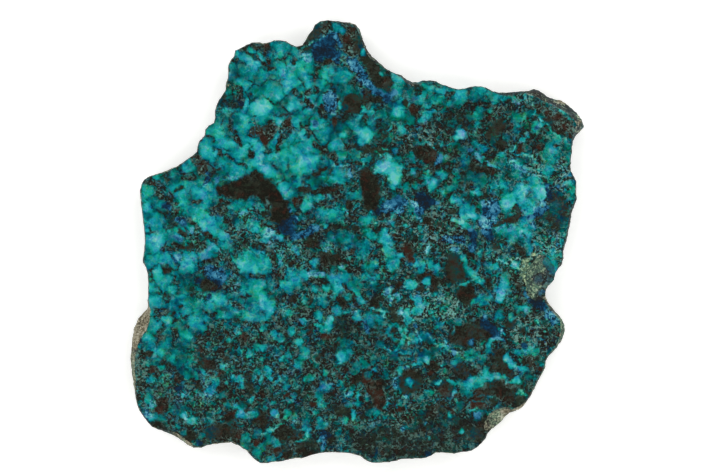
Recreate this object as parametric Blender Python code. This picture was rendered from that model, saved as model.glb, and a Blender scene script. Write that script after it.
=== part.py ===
"""A lapidary's slab of chrysocolla and shattuckite in a dark copper-oxide rock.

One natural piece: a thin plate sawn from a nodule. The upper face is polished, the lower face is sawn flat,
and the broken edge all round is the nodule's own weathered skin. The origin is on the lower face, in the middle
of the plate's box, with +Z out of the polished face. Lengths below are in millimetres.
"""

import math

import bmesh
import bpy
from mathutils import Matrix, Vector, noise

MM = 0.001

SLAB_THICKNESS = 6.5
RIM_SOFTENING = 0.2      # the polished rim is rubbed down by this much
SHOULDER_DEPTH = 0.42    # share of the thickness where the plate is widest
BELLY = 0.15             # the skin stands this far outside the rim there
UNDERCUT = 1.1           # how far the skin draws in again, on average, before it meets the sawn face
UNDERCUT_VARIES = 0.8
LUMP_SIZE = 2.6          # lumps and hollows of the weathered skin
LUMP_RELIEF = 0.75
EDGE_STEP = 1.15         # spacing of the facets round the edge
NORMAL_WINDOW = 2.4      # length of edge that sets which way the skin faces
SHARP_ANGLE = math.radians(50)

# Depths of the rings of facets that make the edge, as shares of the thickness, from the polished rim down.
RING_DEPTHS = (0.03, 0.10, 0.20, 0.32, 0.46, 0.60, 0.75, 0.89, 0.97)

# The plate's outline seen from above, clockwise: x, y, and how far the polished face stops short of it there,
# because the nodule's skin slopes out below the saw cut.
OUTLINE = (
    # left flank, climbing in scallops to the upper shoulder
    (-30.4, 17.1, 0.0), (-30.1, 18.9, 0.0), (-29.1, 19.8, 0.0), (-28.8, 21.4, 0.0), (-28.2, 22.1, 0.0),
    (-27.0, 22.8, 0.0), (-27.0, 24.8, 0.0), (-26.2, 27.0, 0.0), (-25.1, 28.4, 0.0), (-25.0, 29.8, 0.1),
    (-24.5, 31.4, 0.0), (-24.4, 33.9, 0.0), (-23.4, 35.0, 0.0), (-23.3, 36.2, 0.0), (-21.9, 36.95, 0.1),
    (-20.2, 37.9, 0.2), (-19.2, 38.0, 0.1), (-18.0, 37.65, 0.0), (-16.8, 37.8, 0.0), (-15.5, 38.3, 0.0),
    (-13.4, 38.05, 0.0), (-12.4, 37.35, 0.0), (-11.0, 37.0, 0.0),
    # the knob that stands up at the top
    (-10.0, 37.8, 0.0), (-9.4, 39.1, 0.0), (-8.6, 40.0, 0.0), (-7.9, 41.3, 0.0), (-6.6, 41.95, 0.0),
    (-5.0, 42.1, 0.1), (-3.0, 41.8, 0.1), (-0.9, 41.65, 0.2), (0.3, 40.7, 0.3), (0.9, 39.4, 0.3),
    (1.5, 37.6, 0.3), (2.7, 35.5, 0.5), (4.6, 33.8, 0.3),
    # upper edge, running right
    (5.6, 32.8, 0.1), (7.2, 32.0, 0.0), (8.5, 31.6, 0.3), (9.7, 30.7, 0.6), (11.1, 30.4, 0.7), (13.2, 30.75, 0.3),
    (15.1, 30.6, 0.3), (16.2, 29.9, 0.1), (17.9, 29.35, 0.0), (18.7, 28.95, 0.0), (20.6, 29.1, 0.1),
    (21.8, 29.55, 0.2), (23.8, 29.55, 0.1), (25.3, 28.8, 0.0), (26.7, 28.4, 0.3), (28.2, 28.4, 0.7),
    (29.7, 28.4, 0.7), (31.0, 28.7, 0.2),
    # upper right corner, where a broad ledge of skin lies outside the polish
    (32.3, 28.6, 0.7), (34.0, 29.1, 1.6), (35.3, 28.4, 1.4), (36.8, 27.4, 1.2), (39.2, 26.8, 1.8),
    (40.2, 25.9, 1.5), (41.8, 24.6, 1.4), (42.9, 23.1, 1.4), (43.3, 22.0, 1.5), (42.4, 20.8, 1.0),
    (41.2, 19.3, 0.3),
    # right flank down to the notch
    (40.95, 17.0, 0.1), (40.65, 15.0, 0.1), (40.9, 12.9, 0.1), (41.65, 11.8, 0.0), (41.7, 9.7, 0.0),
    (41.7, 7.6, 0.2), (41.1, 6.0, 0.4), (40.7, 3.5, 0.4), (40.0, 0.3, 0.3), (39.45, -1.6, 0.3), (39.3, -3.4, 0.2),
    (38.7, -4.8, 0.1),
    # the notch and the corner below it
    (37.9, -5.7, 0.2), (37.6, -7.3, 0.3), (36.5, -8.5, 0.3), (36.0, -9.4, 0.2), (36.0, -10.7, 0.3),
    (37.1, -12.5, 0.5), (38.9, -14.5, 0.4), (39.5, -15.8, 0.7), (39.6, -17.4, 0.9), (38.9, -19.1, 0.6),
    (37.4, -21.0, 0.3), (36.1, -22.4, 0.2), (35.9, -24.1, 0.3), (34.7, -26.2, 0.3), (33.9, -27.8, 0.2),
    (33.1, -29.3, 0.2), (31.9, -31.2, 0.4), (30.7, -32.1, 0.5), (28.7, -32.9, 0.4), (27.3, -34.5, 0.3),
    (25.2, -36.1, 0.2),
    # lower edge, running left
    (24.6, -37.2, 0.1), (22.9, -39.1, 0.0), (21.2, -39.9, 0.0), (19.3, -40.05, 0.0), (18.3, -40.4, 0.0),
    (16.8, -40.15, 0.0), (15.0, -40.15, 0.0), (13.2, -41.1, 0.0), (9.5, -41.3, 0.0), (7.9, -41.45, 0.0),
    (6.8, -41.85, 0.0), (4.0, -42.05, 0.0), (2.3, -41.9, 0.0), (0.3, -40.6, 0.0), (-2.0, -40.2, 0.0),
    (-6.2, -40.1, 0.0), (-8.6, -40.6, 0.0), (-10.4, -41.15, 0.0), (-12.2, -41.2, 0.0), (-13.8, -41.7, 0.0),
    (-15.8, -41.9, 0.0), (-17.5, -42.1, 0.0), (-18.9, -41.9, 0.0), (-21.2, -39.7, 0.1), (-22.9, -38.8, 0.3),
    (-23.9, -38.3, 0.2), (-26.5, -38.45, 0.0), (-28.6, -38.75, 0.0), (-29.9, -39.3, 0.1), (-32.0, -39.0, 0.6),
    (-34.0, -37.6, 0.8), (-36.0, -36.5, 0.5), (-38.4, -35.6, 0.1), (-39.6, -34.7, 0.1),
    # left bulge, where the pale skin slopes out widest
    (-40.9, -32.9, 0.1), (-41.9, -31.0, 0.1), (-42.3, -29.0, 0.3), (-42.8, -26.0, 0.6), (-43.2, -22.8, 0.8),
    (-43.0, -20.4, 1.2), (-42.8, -18.4, 1.3), (-42.4, -16.5, 2.3), (-41.4, -14.4, 2.2), (-40.1, -12.9, 0.8),
    # left flank up to the corner
    (-39.75, -11.0, 0.0), (-39.7, -6.8, 0.0), (-40.1, -5.0, 0.0), (-40.7, -3.5, 0.0), (-40.4, -1.3, 0.0),
    (-40.35, 1.2, 0.0), (-40.8, 5.2, 0.0), (-41.2, 9.0, 0.0), (-40.8, 11.3, 0.0), (-39.4, 12.4, 0.0),
    (-36.8, 13.2, 0.0), (-34.9, 14.1, 0.0), (-33.7, 14.5, 0.0), (-32.5, 15.5, 0.0), (-31.0, 16.5, 0.0),
)

# Two places where the rock is lower than the polish and its rough skin shows: the hollow's centre, half lengths,
# turn of its long axis and depth.
HOLLOWS = {
    "notch_hollow": {"centre": (34.7, -7.0), "half": (4.3, 2.7), "turn_deg": 78.0, "depth": 0.9},
    "lower_hollow": {"centre": (26.9, -34.0), "half": (3.3, 2.0), "turn_deg": 38.0, "depth": 1.2},
}
HOLLOW_RISE = 0.9        # how far each hollow's cutter stands above the polished face
HOLLOW_LUMP = 0.14       # its unevenness, as a share of its size

# Principled colour, roughness of the plate as a whole: mottled blue-green, nearly as dark as its matrix.
STONE_COLOUR = (0.020, 0.130, 0.125, 1.0)
STONE_ROUGHNESS = 0.22


def clear_scene():
    for obj in list(bpy.data.objects):
        bpy.data.objects.remove(obj)


def spline_point(before, start, end, after, share):
    """Catmull-Rom point between start and end, for the outline's x, y and ledge alike."""
    square, cube = share * share, share ** 3
    return tuple(
        0.5 * (2 * b + (c - a) * share + (2 * a - 5 * b + 4 * c - d) * square + (3 * b - a - 3 * c + d) * cube)
        for a, b, c, d in zip(before, start, end, after)
    )


def even_edge():
    """The outline's curve walked in even steps: a list of (place, ledge)."""
    count = len(OUTLINE)
    fine = []
    for i in range(count):
        corners = [OUTLINE[(i + k) % count] for k in (-1, 0, 1, 2)]
        fine += [spline_point(*corners, share / 12) for share in range(12)]
    lengths = [0.0]
    for here, there in zip(fine, fine[1:] + fine[:1]):
        lengths.append(lengths[-1] + math.dist(here[:2], there[:2]))
    steps = round(lengths[-1] / EDGE_STEP)
    walked, at = [], 0
    for step in range(steps):
        goal = lengths[-1] * step / steps
        while lengths[at + 1] < goal:
            at += 1
        share = (goal - lengths[at]) / (lengths[at + 1] - lengths[at])
        here, there = fine[at], fine[(at + 1) % len(fine)]
        x, y, ledge = (a + (b - a) * share for a, b in zip(here, there))
        walked.append((Vector((x, y)), max(0.0, ledge)))
    return walked


def inward_ways(edge):
    """Which way is into the stone at each step of a clockwise edge, averaged so that scallops don't cross."""
    reach = max(1, round(NORMAL_WINDOW / EDGE_STEP))
    ways = []
    for i in range(len(edge)):
        along = edge[(i + reach) % len(edge)][0] - edge[i - reach][0]
        ways.append(Vector((along.y, -along.x)).normalized())
    return ways


def lumpiness(place, size):
    """0 to 1, uneven over the skin at this size of lump."""
    return 0.5 + 0.5 * noise.noise(place / size)


def skin_inset(place, ledge, depth):
    """How far inside the outline the skin lies at this share of the depth below the polished rim."""
    shoulder = ledge - (ledge + BELLY) * math.sin(math.pi / 2 * min(1.0, depth / SHOULDER_DEPTH))
    below = max(0.0, (depth - SHOULDER_DEPTH) / (1 - SHOULDER_DEPTH))
    undercut = UNDERCUT + UNDERCUT_VARIES * noise.noise(place / (3 * LUMP_SIZE))
    bare = 1 / (1 + 4 * ledge)
    lumps = LUMP_RELIEF * lumpiness(place, LUMP_SIZE) * math.sin(math.pi * depth) ** 2 * bare
    return shoulder + undercut * below ** 1.6 + lumps


def ring(bm, edge, ways, depth):
    """One ring of vertices round the skin."""
    vertices = []
    for (place, ledge), way in zip(edge, ways):
        at = Vector((place.x, place.y, depth * SLAB_THICKNESS))
        flat = place + way * skin_inset(at, ledge, depth)
        wander = 0.35 * noise.noise(at / 4.0 + Vector((9.0, 0.0, 0.0))) * math.sin(math.pi * depth)
        bottom = SLAB_THICKNESS * (1 - depth)
        vertices.append(bm.verts.new((flat.x, flat.y, bottom + wander)))
    return vertices


def flat_rim(bm, near, ways, height):
    """The outline of a sawn face: the nearest ring, drawn in a little and laid at one height."""
    rim = []
    for vertex, way in zip(near, ways):
        flat = vertex.co.xy + way * RIM_SOFTENING
        rim.append(bm.verts.new((flat.x, flat.y, height)))
    return rim


def slab_mesh():
    edge = even_edge()
    ways = inward_ways(edge)
    bm = bmesh.new()
    skin = [ring(bm, edge, ways, depth) for depth in RING_DEPTHS]
    rings = [flat_rim(bm, skin[0], ways, SLAB_THICKNESS), *skin, flat_rim(bm, skin[-1], ways, 0.0)]
    for upper, lower in zip(rings, rings[1:]):
        for i in range(len(edge)):
            j = (i + 1) % len(edge)
            bm.faces.new((upper[i], upper[j], lower[j], lower[i]))
    bm.faces.new(reversed(rings[0]))
    bm.faces.new(rings[-1])
    bmesh.ops.triangulate(bm, faces=bm.faces[:])
    bmesh.ops.recalc_face_normals(bm, faces=bm.faces[:])
    bmesh.ops.scale(bm, vec=(MM, MM, MM), verts=bm.verts[:])
    mesh = bpy.data.meshes.new("chrysocolla_slab")
    bm.to_mesh(mesh)
    bm.free()
    mesh.shade_smooth()
    mesh.set_sharp_from_angle(angle=SHARP_ANGLE)
    return mesh


def hollow_cutter(name, hollow):
    """A lumpy ellipsoid that scoops one hollow out of the polished face."""
    bm = bmesh.new()
    bmesh.ops.create_icosphere(bm, subdivisions=3, radius=1.0)
    half_length, half_width = hollow["half"]
    height = hollow["depth"] + HOLLOW_RISE
    for vertex in bm.verts:
        swell = 1 + HOLLOW_LUMP * noise.noise(vertex.co * 2.2 + Vector((0.0, 0.0, 4.0)))
        vertex.co *= swell
    # Above its middle the ellipsoid is wider than the hollow's rim, so it is sized to match the rim at the face.
    widening = 1 / math.sqrt(1 - (HOLLOW_RISE / height) ** 2)
    size = Vector((half_length * widening, half_width * widening, height)) * MM
    bm.transform(Matrix.Diagonal((*size, 1.0)))
    mesh = bpy.data.meshes.new(name)
    bm.to_mesh(mesh)
    bm.free()
    cutter = bpy.data.objects.new(name, mesh)
    bpy.context.scene.collection.objects.link(cutter)
    x, y = hollow["centre"]
    cutter.location = (x * MM, y * MM, (SLAB_THICKNESS + HOLLOW_RISE) * MM)
    cutter.rotation_euler.z = math.radians(hollow["turn_deg"])
    cutter.hide_render = True
    cutter.display_type = "WIRE"
    return cutter


def stone_material():
    material = bpy.data.materials.new("polished_chrysocolla")
    material.use_nodes = True
    shader = material.node_tree.nodes["Principled BSDF"]
    shader.inputs["Base Color"].default_value = STONE_COLOUR
    shader.inputs["Roughness"].default_value = STONE_ROUGHNESS
    shader.inputs["Metallic"].default_value = 0.0
    return material


def build_slab():
    slab = bpy.data.objects.new("chrysocolla_slab", slab_mesh())
    bpy.context.scene.collection.objects.link(slab)
    slab.data.materials.append(stone_material())
    for name, hollow in HOLLOWS.items():
        scoop = slab.modifiers.new(name, "BOOLEAN")
        scoop.operation = "DIFFERENCE"
        scoop.solver = "EXACT"
        scoop.object = hollow_cutter(name, hollow)
    return slab


clear_scene()
build_slab()
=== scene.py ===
import math

import bmesh
import bpy
import numpy as np
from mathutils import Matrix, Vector, geometry, noise


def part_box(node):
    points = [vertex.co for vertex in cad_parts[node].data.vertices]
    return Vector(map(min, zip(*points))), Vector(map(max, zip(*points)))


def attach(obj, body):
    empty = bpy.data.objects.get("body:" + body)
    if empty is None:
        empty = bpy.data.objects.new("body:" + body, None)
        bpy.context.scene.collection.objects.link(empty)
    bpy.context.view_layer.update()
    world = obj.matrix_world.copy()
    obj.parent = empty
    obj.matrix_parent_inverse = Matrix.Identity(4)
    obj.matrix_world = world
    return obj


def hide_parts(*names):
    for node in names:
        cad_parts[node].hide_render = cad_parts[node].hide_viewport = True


mm = 0.001
pictureWidth = 708   # pixels
mmPerPixel = 0.19
noiseSeed = 1        # unseeded, noise vectors differ from run to run
noise.seed_set(noiseSeed)


def linear(hexColour):
    channels = [int(hexColour[i:i + 2], 16) / 255 for i in (1, 3, 5)]
    straight = [c / 12.92 if c <= 0.04045 else ((c + 0.055) / 1.055) ** 2.4 for c in channels]
    return (*straight, 1.0)


slabMesh = {
    "node": "chrysocolla_slab",
    "topStep": 0.35,      # mm between points on the polished face, fine enough to carry the markings
    "bottomStep": 0.8,
    "skinCuts": 2,
    "rimGap": 0.55,       # lattice points keep this share of a step from the rim
    "gritRelief": 0.16, "gritSize": 0.8,             # mm
    "gritSoftening": 1.0, "gritGap": 2.0, "gritLayers": 3,
    "pitRelief": 0.20, "pitSize": 0.35,
    "rimWander": 0.10, "rimWanderSize": 0.7,
    "topFade": 0.5, "bottomFade": 0.4,               # the skin's relief dies away this near a flat face
}
flatWithin = 2e-5         # metres: points this near a flat face's height lie in it
mergeWithin = 2e-6
meshWithin = 1e-9
pointBatches = 40         # keeps the arrays of distances small
insideOnly = 1            # the triangulation drops what lies outside the rim


def lieAt(vertices, height):
    return all(abs(vertex.co.z - height) < flatWithin for vertex in vertices)


def loopOf(bm, height):
    edges = [edge for edge in bm.edges if edge.is_boundary and lieAt(edge.verts, height)]
    after = {}
    for edge in edges:
        for here, there in (edge.verts, reversed(edge.verts)):
            after.setdefault(here, []).append(there)
    start = edges[0].verts[0]
    loop, last, here = [start], None, start
    while True:
        ahead = [v for v in after[here] if v is not last]
        last, here = here, ahead[0]
        if here is start:
            break
        loop.append(here)
    if len(loop) != len(edges):
        raise RuntimeError(f"the rim at {height} has {len(edges)} edges, but its loop has {len(loop)}")
    return loop


def insidePoints(rim, step, gap):
    low, high = rim.min(axis=0), rim.max(axis=0)
    rowGap = step * math.sqrt(3) / 2
    rows = []
    for row, y in enumerate(np.arange(low[1], high[1], rowGap)):
        xs = np.arange(low[0] + (row % 2) * step / 2, high[0], step)
        rows.append(np.column_stack((xs, np.full(len(xs), y))))
    points = np.vstack(rows)
    tails, heads = rim, np.roll(rim, -1, axis=0)
    kept = []
    for batch in np.array_split(points, pointBatches):
        x, y = batch[:, :1], batch[:, 1:]
        crosses = (tails[:, 1] > y) != (heads[:, 1] > y)
        rise = np.where(crosses, heads[:, 1] - tails[:, 1], 1.0)
        at = tails[:, 0] + (y - tails[:, 1]) * (heads[:, 0] - tails[:, 0]) / rise
        inside = (np.sum(crosses & (x < at), axis=1) % 2) == 1
        clear = np.min((tails[:, 0] - x) ** 2 + (tails[:, 1] - y) ** 2, axis=1) > (gap * step) ** 2
        kept.append(batch[inside & clear])
    return np.vstack(kept)


def fillCap(bm, height, step, gap, upward, slot):
    loop = loopOf(bm, height)
    rim = np.array([v.co.xy[:] for v in loop])
    points = insidePoints(rim, step, gap)
    flat = [Vector(p) for p in rim] + [Vector(p) for p in points]
    around = [(i, (i + 1) % len(rim)) for i in range(len(rim))]
    whole = [list(range(len(rim)))]
    places, _, faces, origins, _, _ = geometry.delaunay_2d_cdt(flat, around, whole, insideOnly, meshWithin)
    vertices = []
    for place, origin in zip(places, origins):
        onRim = [i for i in origin if i < len(rim)]
        vertices.append(loop[onRim[0]] if onRim else bm.verts.new((place.x, place.y, height)))
    for face in faces:
        a, b, c = (vertices[i] for i in face)
        turn = (b.co - a.co).cross(c.co - a.co).z
        made = bm.faces.new((a, b, c) if (turn > 0) == upward else (a, c, b))
        made.material_index = slot


polishSlot, skinSlot, sawnSlot = 0, 1, 2


def roughenSkin(bm, bottom, top):
    for vertex in bm.verts:
        place = vertex.co / mm
        if vertex.is_boundary:
            shift = noise.noise_vector(place / slabMesh["rimWanderSize"]) * slabMesh["rimWander"] * mm
            vertex.co.x += shift.x
            vertex.co.y += shift.y
            continue
        fade = min(1.0, (top - vertex.co.z) / (slabMesh["topFade"] * mm),
                   (vertex.co.z - bottom) / (slabMesh["bottomFade"] * mm))
        grit = noise.fractal(place / slabMesh["gritSize"], slabMesh["gritSoftening"], slabMesh["gritGap"],
                             slabMesh["gritLayers"]) * slabMesh["gritRelief"]
        pits = -abs(noise.noise(place / slabMesh["pitSize"])) * slabMesh["pitRelief"]
        vertex.co += vertex.normal * (grit + pits) * fade * mm


def buildStone(node):
    lowest, highest = (Vector(corner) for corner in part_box(slabMesh["node"]))
    top, bottom = highest.z, lowest.z
    bm = bmesh.new()
    bm.from_mesh(node.data)
    bmesh.ops.remove_doubles(bm, verts=bm.verts, dist=mergeWithin)
    flat = [face for face in bm.faces if lieAt(face.verts, top) or lieAt(face.verts, bottom)]
    bmesh.ops.delete(bm, geom=flat, context="FACES_ONLY")
    loose = [v for v in bm.verts if not v.link_faces]
    bmesh.ops.delete(bm, geom=loose, context="VERTS")
    bmesh.ops.subdivide_edges(bm, edges=bm.edges[:], cuts=slabMesh["skinCuts"], use_grid_fill=True)
    bmesh.ops.triangulate(bm, faces=[f for f in bm.faces if len(f.verts) > 3])
    bm.normal_update()
    roughenSkin(bm, bottom, top)
    for face in bm.faces:
        face.material_index = skinSlot
        face.smooth = True
    fillCap(bm, top, mm * slabMesh["topStep"], slabMesh["rimGap"], True, polishSlot)
    fillCap(bm, bottom, mm * slabMesh["bottomStep"], slabMesh["rimGap"], False, sawnSlot)
    mesh = bpy.data.meshes.new("polished_slab")
    bm.to_mesh(mesh)
    bm.free()
    stone = bpy.data.objects.new("polished_slab", mesh)
    bpy.context.scene.collection.objects.link(stone)
    return stone


# The rock's markings, in mm from the middle of the slab, seen from above. Each kind pulls some of the rock's
# fields to its own values. A mark is one round spot (x, y, radius) or a band through several such spots.
fieldStart = {"tone": 0.46, "grain": 0.80, "clast": 0.4, "shell": 0.0, "blue": 0.0, "tint": 0.1, "hue": 0.0,
              "lace": 0.35, "crust": 0.30, "moss": 0.50}

# broad stretches of the rock, fading into each other over several mm
rockZones = [
    ({"tone": 0.72, "grain": 0.6, "clast": 1.0, "shell": 1.0, "lace": 0.1}, 7, [
        (-18, 28, 8, -6, 26, 8, -12, 14, 9, -28, 18, 7), (-30, 8, 8, -36, 2, 7, -38, -8, 7, -36, -16, 7),
        (-24, 4, 7, -22, -8, 7)]),
    ({"tone": 0.5, "grain": 1.05, "clast": 0.2, "shell": 0.0, "lace": 0.4, "tint": 0.3}, 3, [
        (-24.5, 5.5, 2.6, -18.5, 4.5, 2.4), (-22.5, 0.8, 2.8, -17, -1.5, 2.2), (-30.5, -0.3, 1.8),
        (-25.5, -4, 1.8, -24, -8, 1.8), (-15.3, -5, 1.5)]),
    ({"tone": 0.49, "grain": 0.8, "clast": 1.0, "shell": 0.4, "hue": -0.5, "lace": 0.2}, 7, [
        (4, 22, 6, 14, 23, 6, 24, 22, 6, 33, 22, 5), (12, 13, 6, 22, 14, 6)]),
    ({"tone": 0.62, "grain": 0.7, "clast": 1.0, "shell": 0.8, "hue": -0.2}, 3, [
        (6, 29, 3, 15, 28, 2.5, 27, 28, 1.5)]),
    ({"tone": 0.49, "grain": 0.85, "clast": 0.7, "shell": 0.3, "hue": 0.1}, 7, [
        (-6, 4, 7, 4, -3, 7, -6, -10, 7), (4, -12, 6, 10, -16, 4)]),
    ({"tone": 0.45, "grain": 1.0, "clast": 0.3, "lace": 0.3}, 8, [(-36, -26, 6, -20, -22, 8), (-30, -32, 5)]),
    ({"tone": 0.34, "grain": 1.0, "clast": 0.3, "lace": 0.3}, 7, [(-4, -22, 6, -4, -31, 6)]),
    ({"tone": 0.34, "grain": 1.0, "clast": 0.3, "lace": 0.3}, 6, [(-18, -34, 6), (2, -27, 5)]),
    ({"tone": 0.36, "grain": 1.0, "clast": 0.2, "tint": 0.2}, 5, [
        (20, -14, 5, 27, -20, 5, 24, -29, 4), (13, -27, 5)]),
    ({"tone": 0.42, "grain": 1.0, "clast": 0.3, "lace": 0.5}, 5, [(12, 4, 5, 20, 2, 4)]),
    ({"tone": 0.66, "grain": 0.9, "clast": 0.8, "shell": 0.8, "lace": 0.4}, 4, [
        (31, 12, 4.5, 31, 4, 4.2, 32, -1.5, 2.5), (39, 18, 4, 39, 8, 3), (39, -8, 3)]),
    ({"tone": 0.42, "grain": 1.0, "clast": 0.6, "lace": 0.3}, 4, [(35, -13, 4, 36, -22, 4)]),
    ({"tone": 0.25, "grain": 0.42, "clast": 0.0, "shell": 0.0, "tint": 0.36, "lace": 0.3}, 3, [
        (1, -38.5, 2.5, 8, -38, 4, 17, -36, 4.5, 22, -36, 3), (-9, -39.5, 1.6, -5, -37.5, 1.2)]),
    ({"tone": 0.3, "grain": 0.8, "shell": 0.0, "tint": 0.8}, 2.5, [
        (-28, -36.5, 1.6, -24, -36, 2.2), (-15, -39, 2, -12, -38.5, 2)]),
    ({"tone": 0.24, "grain": 0.6, "clast": 0.0, "shell": 0.0, "tint": 0.1}, 2, [
        (27.5, -28, 2.8, 31, -30, 1.6), (24, -36, 2.4)]),
    ({"tone": 0.38, "grain": 1.1, "clast": 0.2, "shell": 0.0, "lace": 0.6, "tint": 0.5}, 2.5, [
        (9, 20, 2.2, 15, 20, 2.2), (9, 1, 2.6, 18, 2, 3)]),
    ({"tone": 0.5, "grain": 1.1, "clast": 0.0, "shell": 0.0, "lace": 0.8, "hue": -0.3}, 2.5, [
        (13, -12, 3, 18, -13, 2.6), (31, 26.5, 1.4)]),
    ({"tone": 0.4, "grain": 1.1, "clast": 0.0, "shell": 0.0, "lace": 0.7, "tint": -0.4}, 2, [
        (5.5, -5.5, 1.4, 8.5, -9, 1.4), (39, 3, 1.2)]),
    ({"tone": 0.54, "grain": 1.0, "clast": 0.0, "shell": 0.0, "lace": 0.7, "hue": -0.2}, 2, [
        (-14, -1.5, 1.2, -11.5, -3.8, 1.2)]),
    ({"tone": 0.36, "grain": 1.1, "clast": 0.0, "shell": 0.0, "lace": 0.6, "tint": 0.6}, 2, [
        (-20, 21.8, 0.8, -12, 21.8, 0.8), (-23.5, 1.6, 0.9), (27.5, -1, 1.2), (37.3, -1.2, 1.2),
        (-8, -23, 1.8), (-41, -22, 1, -41.2, -29, 0.9), (8, -33, 2.4)]),
    ({"tone": 0.33, "grain": 1.1, "clast": 0.0, "shell": 0.0, "lace": 0.7, "tint": 0.6}, 2, [
        (30.5, -16, 1.8, 33, -17.5, 2, 31, -18.5, 1.6), (36, -18.5, 1.6), (34, -15.5, 1.3)]),
    ({"tone": 0.6, "grain": 1.1, "clast": 0.2, "shell": 0.1, "lace": 0.8, "hue": 0.2}, 3, [
        (38.5, 14, 1.8, 38, 10, 2.2, 38, 4, 2.2, 37.5, -1, 1.8), (34, 13.5, 1.5)]),
    ({"tone": 0.44, "grain": 0.6, "clast": 0.2, "shell": 0.3}, 3, [(22.5, 12.3, 2.4)]),
    ({"tone": 0.35, "grain": 0.9, "clast": 0.2, "shell": 0.0, "tint": 0.2, "lace": 0.3}, 3, [
        (27, 23.5, 2.4, 26, 19.5, 2.4, 30.5, 18.5, 1.8)]),
    ({"tone": 0.62, "grain": 1.1, "clast": 0.0, "shell": 0.2, "hue": -0.6, "lace": 1.0}, 1.6, [
        (31.2, -3.6, 1.3, 31.6, -6, 1), (33.2, -1.9, 1), (36, -3, 0.8), (29.6, -3.8, 1.1, 30.4, -5.2, 0.9)]),
    ({"tone": 0.66, "grain": 1.0, "clast": 0.0, "shell": 0.2, "lace": 0.9, "hue": -0.3}, 1.6, [
        (32.8, 0.4, 0.9, 34.4, -1.4, 1, 36, -0.3, 1), (38.8, -3, 0.6)]),
]

# soft is the share of a mark's radius over which its edge fades, swell is added to the radius in mm
rockKinds = {
    "teal": {"soft": 0.65, "tone": 0.73, "clast": 0.4, "shell": 1.0, "lace": 0.1},
    "deepTeal": {"soft": 0.65, "tone": 0.6, "clast": 0.4, "shell": 1.0, "lace": 0.0},
    "green": {"soft": 0.65, "tone": 0.75, "clast": 0.3, "shell": 1.0, "hue": -1.0},
    "turquoise": {"soft": 0.65, "tone": 0.81, "clast": 0.3, "shell": 1.0, "lace": 0.0, "hue": 0.2},
    "pale": {"soft": 0.65, "tone": 0.9, "clast": 0.1, "shell": 1.0, "lace": 0.0},
    "bright": {"soft": 0.9, "tone": 1.0, "grain": 0.4, "clast": 0.0, "shell": 1.0, "lace": 0.0, "hue": 0.3},
    "lightBlue": {"soft": 0.8, "tone": 0.82, "clast": 0.0, "shell": 0.5, "blue": 0.6, "lace": 0.4},
    "blue": {"soft": 0.8, "tone": 0.68, "clast": 0.0, "shell": 0.5, "blue": 0.95, "lace": 0.2, "grain": 0.5},
    "navy": {"soft": 0.7, "tone": 0.31, "grain": 0.32, "clast": 0.0, "shell": 0.0, "blue": 1.0, "lace": 0.1},
    "blueLace": {"soft": 0.8, "tone": 0.58, "grain": 1.1, "clast": 0.0, "shell": 0.0, "blue": 0.72,
                 "lace": 0.6},
    "pepper": {"soft": 0.7, "tone": 0.33, "grain": 1.1, "clast": 0.0, "shell": 0.0, "tint": 0.25, "lace": 0.4,
               "blue": 0.05},
    "crack": {"soft": 0.6, "tone": 0.24, "grain": 1.0, "clast": 0.0, "shell": 0.0, "tint": 0.4, "lace": 0.3,
              "blue": 0.0},
    "shade": {"soft": 0.65, "tone": 0.32, "grain": 0.6, "clast": 0.0, "shell": 0.0, "tint": -0.3, "lace": 0.1,
              "blue": 0.0},
    "umber": {"soft": 0.4, "tone": 0.27, "grain": 0.25, "clast": 0.0, "shell": 0.0, "tint": 0.55,
              "lace": 0.05, "blue": 0.0},
    "dark": {"soft": 0.45, "swell": -0.1, "tone": 0.18, "grain": 0.35, "clast": 0.0, "shell": 0.0,
             "tint": 0.55, "lace": 0.05, "blue": 0.0},
    "redBrown": {"soft": 0.5, "swell": -0.08, "tone": 0.17, "grain": 0.5, "clast": 0.0, "shell": 0.0,
                 "tint": 2.6, "lace": 0.1, "blue": 0.0},
    "olive": {"soft": 0.5, "swell": -0.08, "tone": 0.16, "grain": 0.5, "clast": 0.0, "shell": 0.0,
              "tint": -2.0, "lace": 0.1, "blue": 0.0},
    "slate": {"soft": 0.8, "tone": 0.4, "grain": 0.3, "clast": 0.0, "shell": 0.0, "blue": 0.25, "tint": 0.5,
              "lace": 0.12},
    "thread": {"soft": 0.5, "tone": 0.88, "shell": 0.5, "hue": -0.3, "ragged": 0.3},
    "disc": {"soft": 0.16, "tone": 0.3, "grain": 0.15, "clast": 0.0, "shell": 0.0, "tint": 0.6, "lace": 0.0,
             "blue": 0.0, "ragged": 0.4},
    "black": {"soft": 0.4, "swell": -0.05, "tone": 0.12, "grain": 0.25, "clast": 0.0, "shell": 0.0,
              "tint": 0.5, "lace": 0.0, "blue": 0.0},
    "tawny": {"soft": 0.5, "tone": 0.36, "grain": 0.6, "clast": 0.0, "shell": 0.0, "tint": 1.0, "lace": 0.5,
              "blue": 0.0},
    "dimTeal": {"soft": 0.65, "tone": 0.5, "clast": 0.2, "shell": 1.0, "lace": 0.0},
}

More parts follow.
